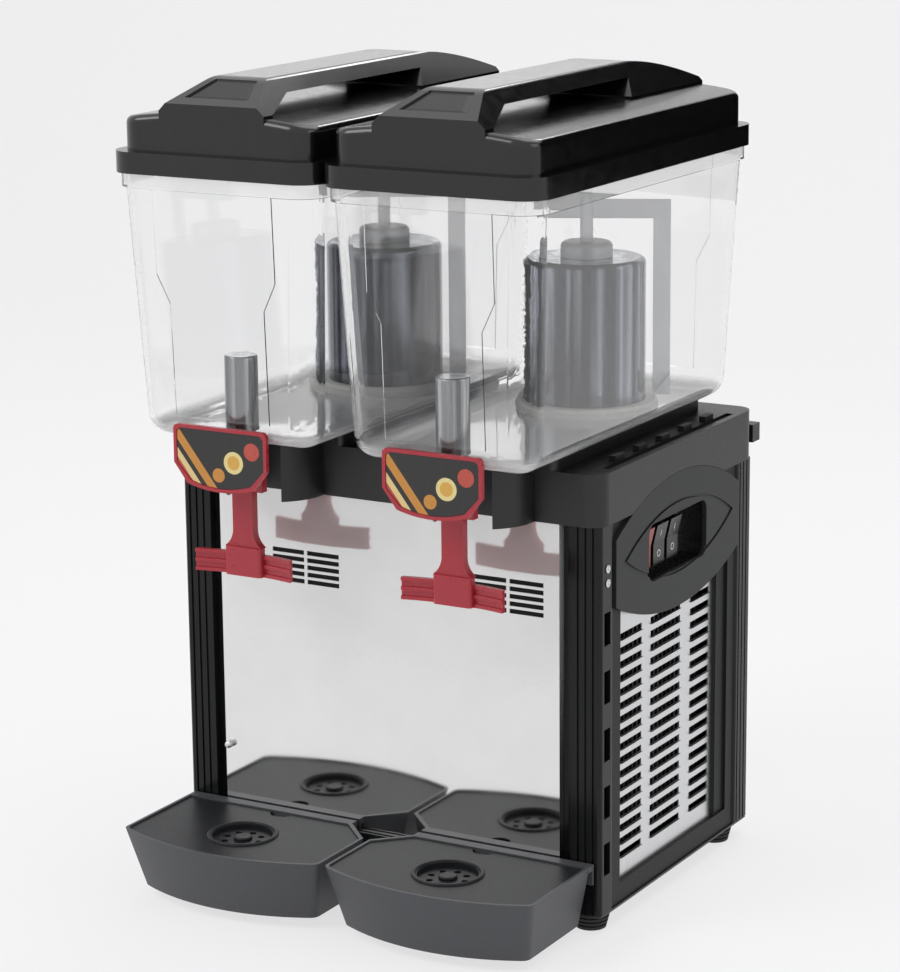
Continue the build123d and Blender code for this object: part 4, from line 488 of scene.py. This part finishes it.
# %% Card print
CARD_PITCH = 203.0
CARD_MIDDLE = 396.5
SLANT = math.radians(38.0)
BAND_LOW = -52.0
BAND_HIGH = 0.0
FIELD = "#2a2827"
# Where each band starts, as a share of the way from BAND_LOW to BAND_HIGH, and its colour.
BANDS = ((0.0, "#b4483f"), (0.34, "#e3c98c"), (0.44, FIELD), (0.52, "#c98a3c"), (0.66, FIELD))
# Place across and above, radius and colour. The second disc has a smaller one on it.
DISCS = ((-2.0, -13.0, 6.0, "#c98a3c"), (13.0, -1.0, 9.5, "#e6d594"),
         (13.0, -1.0, 6.0, "#d9a84e"), (31.0, 10.0, 7.5, "#bd4f42"))
CARD_GLOSS = (0.22, 0.36)
GLOSS_CELL_MM = 12.0

material, tree, output, place = blank("coated_print_card")
axes = add(tree, "ShaderNodeSeparateXYZ", None, {"Vector": place})
wrapped = add(tree, "ShaderNodeMath", {"operation": "WRAP"},
              {0: axes.outputs["X"], 1: CARD_PITCH * MM, 2: 0.0})
across = add(tree, "ShaderNodeMath", {"operation": "SUBTRACT"},
             {0: wrapped.outputs[0], 1: CARD_PITCH / 2 * MM})
above = add(tree, "ShaderNodeMath", {"operation": "SUBTRACT"},
            {0: axes.outputs["Z"], 1: CARD_MIDDLE * MM})
on_card = add(tree, "ShaderNodeCombineXYZ", None, {"X": across.outputs[0], "Y": above.outputs[0]})

# A band is a range of the distance along a slanted line.
slanted = add(tree, "ShaderNodeVectorMath", {"operation": "DOT_PRODUCT"},
              {0: on_card.outputs["Vector"], 1: (math.cos(SLANT), math.sin(SLANT), 0.0)})
along_bands = add(tree, "ShaderNodeMapRange", None,
                  {"Value": slanted.outputs["Value"],
                   "From Min": BAND_LOW * MM, "From Max": BAND_HIGH * MM})
ramp = add(tree, "ShaderNodeValToRGB", None, {"Fac": along_bands.outputs["Result"]})
stops = ramp.color_ramp.elements
ramp.color_ramp.interpolation = "CONSTANT"
stops.remove(stops[1])
stops[0].color = linear(BANDS[0][1])
for position, colour in BANDS[1:]:
    stops.new(position).color = linear(colour)

# A disc is where the distance to its middle is less than its radius.
print_colour = ramp.outputs["Color"]
for x_mm, z_mm, radius_mm, colour in DISCS:
    reach = add(tree, "ShaderNodeVectorMath", {"operation": "DISTANCE"},
                {0: on_card.outputs["Vector"], 1: (x_mm * MM, z_mm * MM, 0.0)})
    inside = add(tree, "ShaderNodeMath", {"operation": "LESS_THAN"},
                 {0: reach.outputs["Value"], 1: radius_mm * MM})
    disc = add(tree, "ShaderNodeMix", {"data_type": "RGBA"},
               {"Factor": inside.outputs[0], "A": print_colour, "B": linear(colour)})
    print_colour = disc.outputs["Result"]

cloud = add(tree, "ShaderNodeTexNoise", None, {"Vector": place, "Scale": 1.0 / (GLOSS_CELL_MM * MM)})
gloss = add(tree, "ShaderNodeMapRange", None,
            {"Value": cloud.outputs["Fac"], "To Min": CARD_GLOSS[0], "To Max": CARD_GLOSS[1]})
surface = add(tree, "ShaderNodeBsdfPrincipled", None,
              {"Base Color": print_colour, "Roughness": gloss.outputs["Result"]})
tree.links.new(surface.outputs["BSDF"], output.inputs["Surface"])
finishes["card_print"] = material
print("card bands and discs:", len(BANDS), len(DISCS))

# %% [markdown]
# ## Finishes on the solids
# The record names a material slot for each node, and the solid's own slots get the finish of that name.
# A few nodes were worked differently from the rest of their slot: the drums are drawn steel with painted
# reflections, the panel is wiped, the bezel is paler, and the tray rail, the fan shroud and the base are
# painted black.

# %% Assign
slot_of = {row["node"]: row["material_slot"] for row in frame["record"]["subparts"]}
own_finish = {"evaporator_left": "drum_steel", "evaporator_right": "drum_steel",
              "front_panel": "wiped_panel_steel", "switch_bezel": "bezel_plastic",
              "tray_hanger": "motor_metal", "fan_shroud": "motor_metal", "base_pan": "motor_metal"}
for name, solid in nodes.items():
    for material_slot in solid.material_slots:
        material_slot.material = finishes[own_finish.get(name, slot_of[name])]
print("finished solids:", len(nodes))

# %% [markdown]
# ## Screws
# The solid model has plain discs for these. Real screws are domed, with a cross recess for the driver. The
# recess could be cut with a boolean, but a height over a polar grid gives clean faces: it falls from the
# middle to the rim, and is pressed in where a point is close to either axis of the cross.

# %% Screw head
SCREW_RADIUS = 3.5
SCREW_RISE = 1.8
DOME_FALL = 0.4
CROSS_HALF_WIDTH = 0.8
CROSS_WALL = 0.3
CROSS_REACH = 2.4
CROSS_FADE = 0.5
CROSS_DEPTH = 0.9
HEAD_RINGS = 22
HEAD_SECTORS = 48


def cross_head():
    """One head round +Z at the origin in millimetres, from the middle out, down the rim and back under.

    Height is the rise less a share that grows with the square of the radius. The recess depth is a
    straight step of the distance to the nearer axis of the cross, faded out before the rim.
    """
    radius = np.linspace(0.0, 1.0, HEAD_RINGS) * SCREW_RADIUS
    angle = np.linspace(0.0, -2 * math.pi, HEAD_SECTORS + 1)[:-1]
    x = radius[:, None] * np.cos(angle)
    y = radius[:, None] * np.sin(angle)
    dome = SCREW_RISE * (1.0 - DOME_FALL * (radius / SCREW_RADIUS) ** 2)[:, None]
    recess = np.clip((CROSS_HALF_WIDTH - np.minimum(np.abs(x), np.abs(y))) / CROSS_WALL, 0.0, 1.0)
    fade = np.clip((CROSS_REACH - radius) / CROSS_FADE, 0.0, 1.0)[:, None]
    top = np.stack([x, y, dome - CROSS_DEPTH * recess * fade], -1)
    foot = top[-1:] * np.array([1.0, 1.0, 0.0])
    return np.concatenate([top, foot, foot * 0.0], 0)


head = cross_head()
print("rows and columns of a screw head:", head.shape[:2])

# %% [markdown]
# ## The panel's knob
# One small knob holds the front panel. It is turned from bar and knurled, so it is a profile carried round
# its axis, with a ripple on the part that fingers hold.

# %% Knob
KNOB_RADIUS = 3.25
KNOB_LENGTH = 6.0
KNURLS = 14
POINTS_PER_KNURL = 8
# Height as a share of the length, then radius and ripple as shares of the radius, from foot to top.
KNOB_STATIONS = ((0.0, 0.0, 0.0), (0.0, 0.75, 0.0), (1 / 6, 0.75, 0.0), (1 / 6, 0.96, 0.04),
                 (5 / 6, 0.96, 0.04), (1.0, 0.8, 0.0), (1.0, 0.0, 0.0))


def knurled_knob():
    """The knob round +Z in millimetres: stations of height and radius, rippled by a cosine of the angle."""
    stations = np.array(KNOB_STATIONS)
    height = stations[:, 0:1] * KNOB_LENGTH
    radius = stations[:, 1:2] * KNOB_RADIUS
    ripple = stations[:, 2:3] * KNOB_RADIUS
    angle = np.linspace(0.0, 2 * math.pi, POINTS_PER_KNURL * KNURLS + 1)[:-1]
    reach = radius + ripple * np.cos(KNURLS * angle)
    return np.stack([reach * np.cos(angle), reach * np.sin(angle), height + 0.0 * reach], -1)


knob = knurled_knob()
print("rows and columns of the knob:", knob.shape[:2])

# %% [markdown]
# ## Fasteners in place
# One head serves every screw. Swapping its axes turns it to face a side, and adding an offset to the
# whole array carries it to its place, so no object is moved. The mesh replaces the plain discs and the
# plain peg of the solid model.

# %% Fasteners
SIDE_MM = 205.0
REAR_FACE_MM = 198.0
FRONT_FACE_MM = -90.0
POST_SCREW_Y = -78.0
POST_SCREW_Z = (304.0, 316.0)
REAR_SCREW_X = (-159.7, 159.7)
REAR_SCREW_Z = (31.0, 339.0)
KNOB_X = -161.7
KNOB_Z = 114.0
HALF_TURN = np.array([-1.0, -1.0, 1.0])

to_right = head[..., [2, 0, 1]]
to_left = to_right * HALF_TURN
to_rear = head[..., [1, 2, 0]]
to_front = knob[..., [1, 2, 0]] * HALF_TURN
fasteners = [to_front + np.array([KNOB_X, FRONT_FACE_MM, KNOB_Z])]
for z in POST_SCREW_Z:
    fasteners.append(to_right + np.array([SIDE_MM, POST_SCREW_Y, z]))
    fasteners.append(to_left + np.array([-SIDE_MM, POST_SCREW_Y, z]))
for x in REAR_SCREW_X:
    for z in REAR_SCREW_Z:
        fasteners.append(to_rear + np.array([x, REAR_FACE_MM, z]))
screws = grid_mesh("cross_head_screws", [points * MM for points in fasteners], wrap_v=True)
screws.data.materials.append(finishes["satin_steel"])
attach(screws, "cabinet")
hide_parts("panel_screws")
print("fasteners:", len(fasteners))

# %% [markdown]
# ## Painted shade behind the vents
# Behind each group of slots sits a black pad that stands in for the shade inside the cabinet, so the slots
# look dark: painted shade. Its outline is a superellipse, which is a rectangle with soft corners, and four
# rows close it: the middle of the back, the back's rim, the front's rim and the middle of the front.

# %% Vent pads
VENT_MIDDLES = (-79.5, 118.5)
VENT_Z = 285.2
PAD_HALF = (38.0, 19.0)
PAD_BACK_MM = -83.0
PAD_FRONT_MM = -88.5
PAD_POINTS = 64
CORNER_POWER = 10.0

angle = np.linspace(0.0, 2 * math.pi, PAD_POINTS + 1)[:-1]
reach = np.abs(np.stack([np.cos(angle), np.sin(angle)])) ** (2.0 / CORNER_POWER)
rim_x = PAD_HALF[0] * np.sign(np.cos(angle)) * reach[0]
rim_z = PAD_HALF[1] * np.sign(np.sin(angle)) * reach[1]
spread = np.array([0.0, 1.0, 1.0, 0.0])[:, None]
depth = np.array([PAD_BACK_MM, PAD_BACK_MM, PAD_FRONT_MM, PAD_FRONT_MM])[:, None]
pad = np.stack([spread * rim_x, depth + 0.0 * rim_x, VENT_Z + spread * rim_z], -1)
# The pad is painted shade, so it is blacker and rougher than any of the plastics.
shade_sheet = wear_and_sheen_surface("vent_painted_shade", "#060606", "#0d0d0d",
                    roughness=(0.85, 0.95), cell_mm=1.5, bump_mm=0.2)[0]
pad_grids = [(pad + np.array([x, 0.0, 0.0])) * MM for x in VENT_MIDDLES]
pads = grid_mesh("vent_shade_pads", pad_grids, wrap_v=True, smooth=False)
pads.data.materials.append(shade_sheet)
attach(pads, "cabinet")
print("vent pads:", len(VENT_MIDDLES))

# %% [markdown]
# ## Blank plates on the lids
# The front slope of each grip has a shallow recess that holds a thin dark film. It is left blank here. The
# film is a flat grid, narrower towards the crest, laid on the slope a little above the recess floor, with
# its border turned down into it.

# %% Lid plates
PLATE_FRONT_Y = -174.6
PLATE_REAR_Y = -145.4
PLATE_HALF_FRONT = 31.6
PLATE_HALF_REAR = 20.3
PLATE_STEPS = 9
SLOPE_FOOT_Y = -185.0
SLOPE_FOOT_Z = 691.0
SLOPE = 19.0 / 44.0
RECESS_DEPTH = 1.5
FILM = 0.7
BORDER_SINK = 0.3
BORDER_FROM = 0.99
LID_X = 101.5

along = np.linspace(0.0, 1.0, PLATE_STEPS)[:, None]
across = np.linspace(-1.0, 1.0, PLATE_STEPS)[None, :]
plate = np.zeros((PLATE_STEPS, PLATE_STEPS, 3))
plate[..., 0] = (PLATE_HALF_FRONT + (PLATE_HALF_REAR - PLATE_HALF_FRONT) * along) * across
plate[..., 1] = PLATE_FRONT_Y + (PLATE_REAR_Y - PLATE_FRONT_Y) * along
plate[..., 2] = SLOPE_FOOT_Z + SLOPE * (plate[..., 1] - SLOPE_FOOT_Y) - RECESS_DEPTH + FILM
border = np.maximum(np.abs(2 * along - 1), np.abs(across)) > BORDER_FROM
plate[..., 2] -= border * (FILM + BORDER_SINK)

# Vinyl film is duller than the lid round it, so the plate can be told from the grip.
vinyl = wear_and_sheen_surface("black_vinyl_film", "#141415", "#1a1a1b",
                     roughness=(0.4, 0.5), cell_mm=3.0, bump_mm=0.01)[0]
for hand, side in (("left", -1), ("right", 1)):
    film_grid = (plate + np.array([side * LID_X, 0.0, 0.0])) * MM
    film = grid_mesh(f"blank_plate_{hand}", [film_grid], smooth=False)
    film.data.materials.append(vinyl)
    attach(film, f"lid_{hand}")
print("faces of a lid plate:", len(film.data.polygons))

# %% [markdown]
# ## Marks on the rockers
# Each rocker has a bar on one half and a ring on the other, the plain signs for on and off, printed in
# white. A mark is a thin closed band: its section has four corners, and it is carried round an oval. The
# rocker's face is two flat halves, so a mark is laid out on its half and then tipped with the rocker.

# %% Rocker marks
ROCKER_PIVOT_X = 188.0
ROCKER_PIVOT_Z = 311.0
ROCKER_Y = (13.0, 39.5, 66.0)
ROCKER_TILT = math.radians(7.0)
HALF_X = 7.5
HALF_Z = 9.0
HALF_LEAN = math.atan2(2.0, 18.0)
INK = 0.15
BAR_SLIT = (0.02, 0.02)
BAR_HALF = (0.55, 3.4)
RING_INNER = (2.3, 2.3)
RING_OUTER = (3.2, 3.2)
MARK_POINTS = 32


def oval_band(inner, outer):
    """Flat band between two ovals, each (across, along), as a closed tube with a four cornered section."""
    angle = np.linspace(0.0, -2 * math.pi, MARK_POINTS + 1)[:-1]
    reach = np.array([inner, outer, outer, inner])
    level = np.array([INK, INK, -INK, -INK])
    return np.stack([level[:, None] + 0.0 * angle, reach[:, 0:1] * np.cos(angle),
                     reach[:, 1:2] * np.sin(angle)], -1)


def tip_x_z(points, turn):
    """Turn points about the Y axis, from Z towards X."""
    x = points[..., 0] * math.cos(turn) + points[..., 2] * math.sin(turn)
    z = points[..., 2] * math.cos(turn) - points[..., 0] * math.sin(turn)
    return np.stack([x, points[..., 1], z], -1)


bar = tip_x_z(oval_band(BAR_SLIT, BAR_HALF), HALF_LEAN) + np.array([HALF_X, 0.0, HALF_Z])
ring = tip_x_z(oval_band(RING_INNER, RING_OUTER), -HALF_LEAN) + np.array([HALF_X, 0.0, -HALF_Z])
# Pad print is a flat ink, matt beside the polished rocker.
white_ink = wear_and_sheen_surface("white_pad_print", "#dededc", "#e8e8e6",
                         roughness=(0.4, 0.5), cell_mm=2.0, bump_mm=0.0)[0]
for n, y in enumerate(ROCKER_Y):
    pivot = np.array([ROCKER_PIVOT_X, y, ROCKER_PIVOT_Z])
    mark_grids = [(tip_x_z(points, ROCKER_TILT) + pivot) * MM for points in (bar, ring)]
    mark = grid_mesh(f"rocker_marks_{n + 1}", mark_grids, wrap_u=True, wrap_v=True, smooth=False)
    mark.data.materials.append(white_ink)
    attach(mark, f"rocker_{n + 1}")
print("rocker marks:", len(ROCKER_Y))
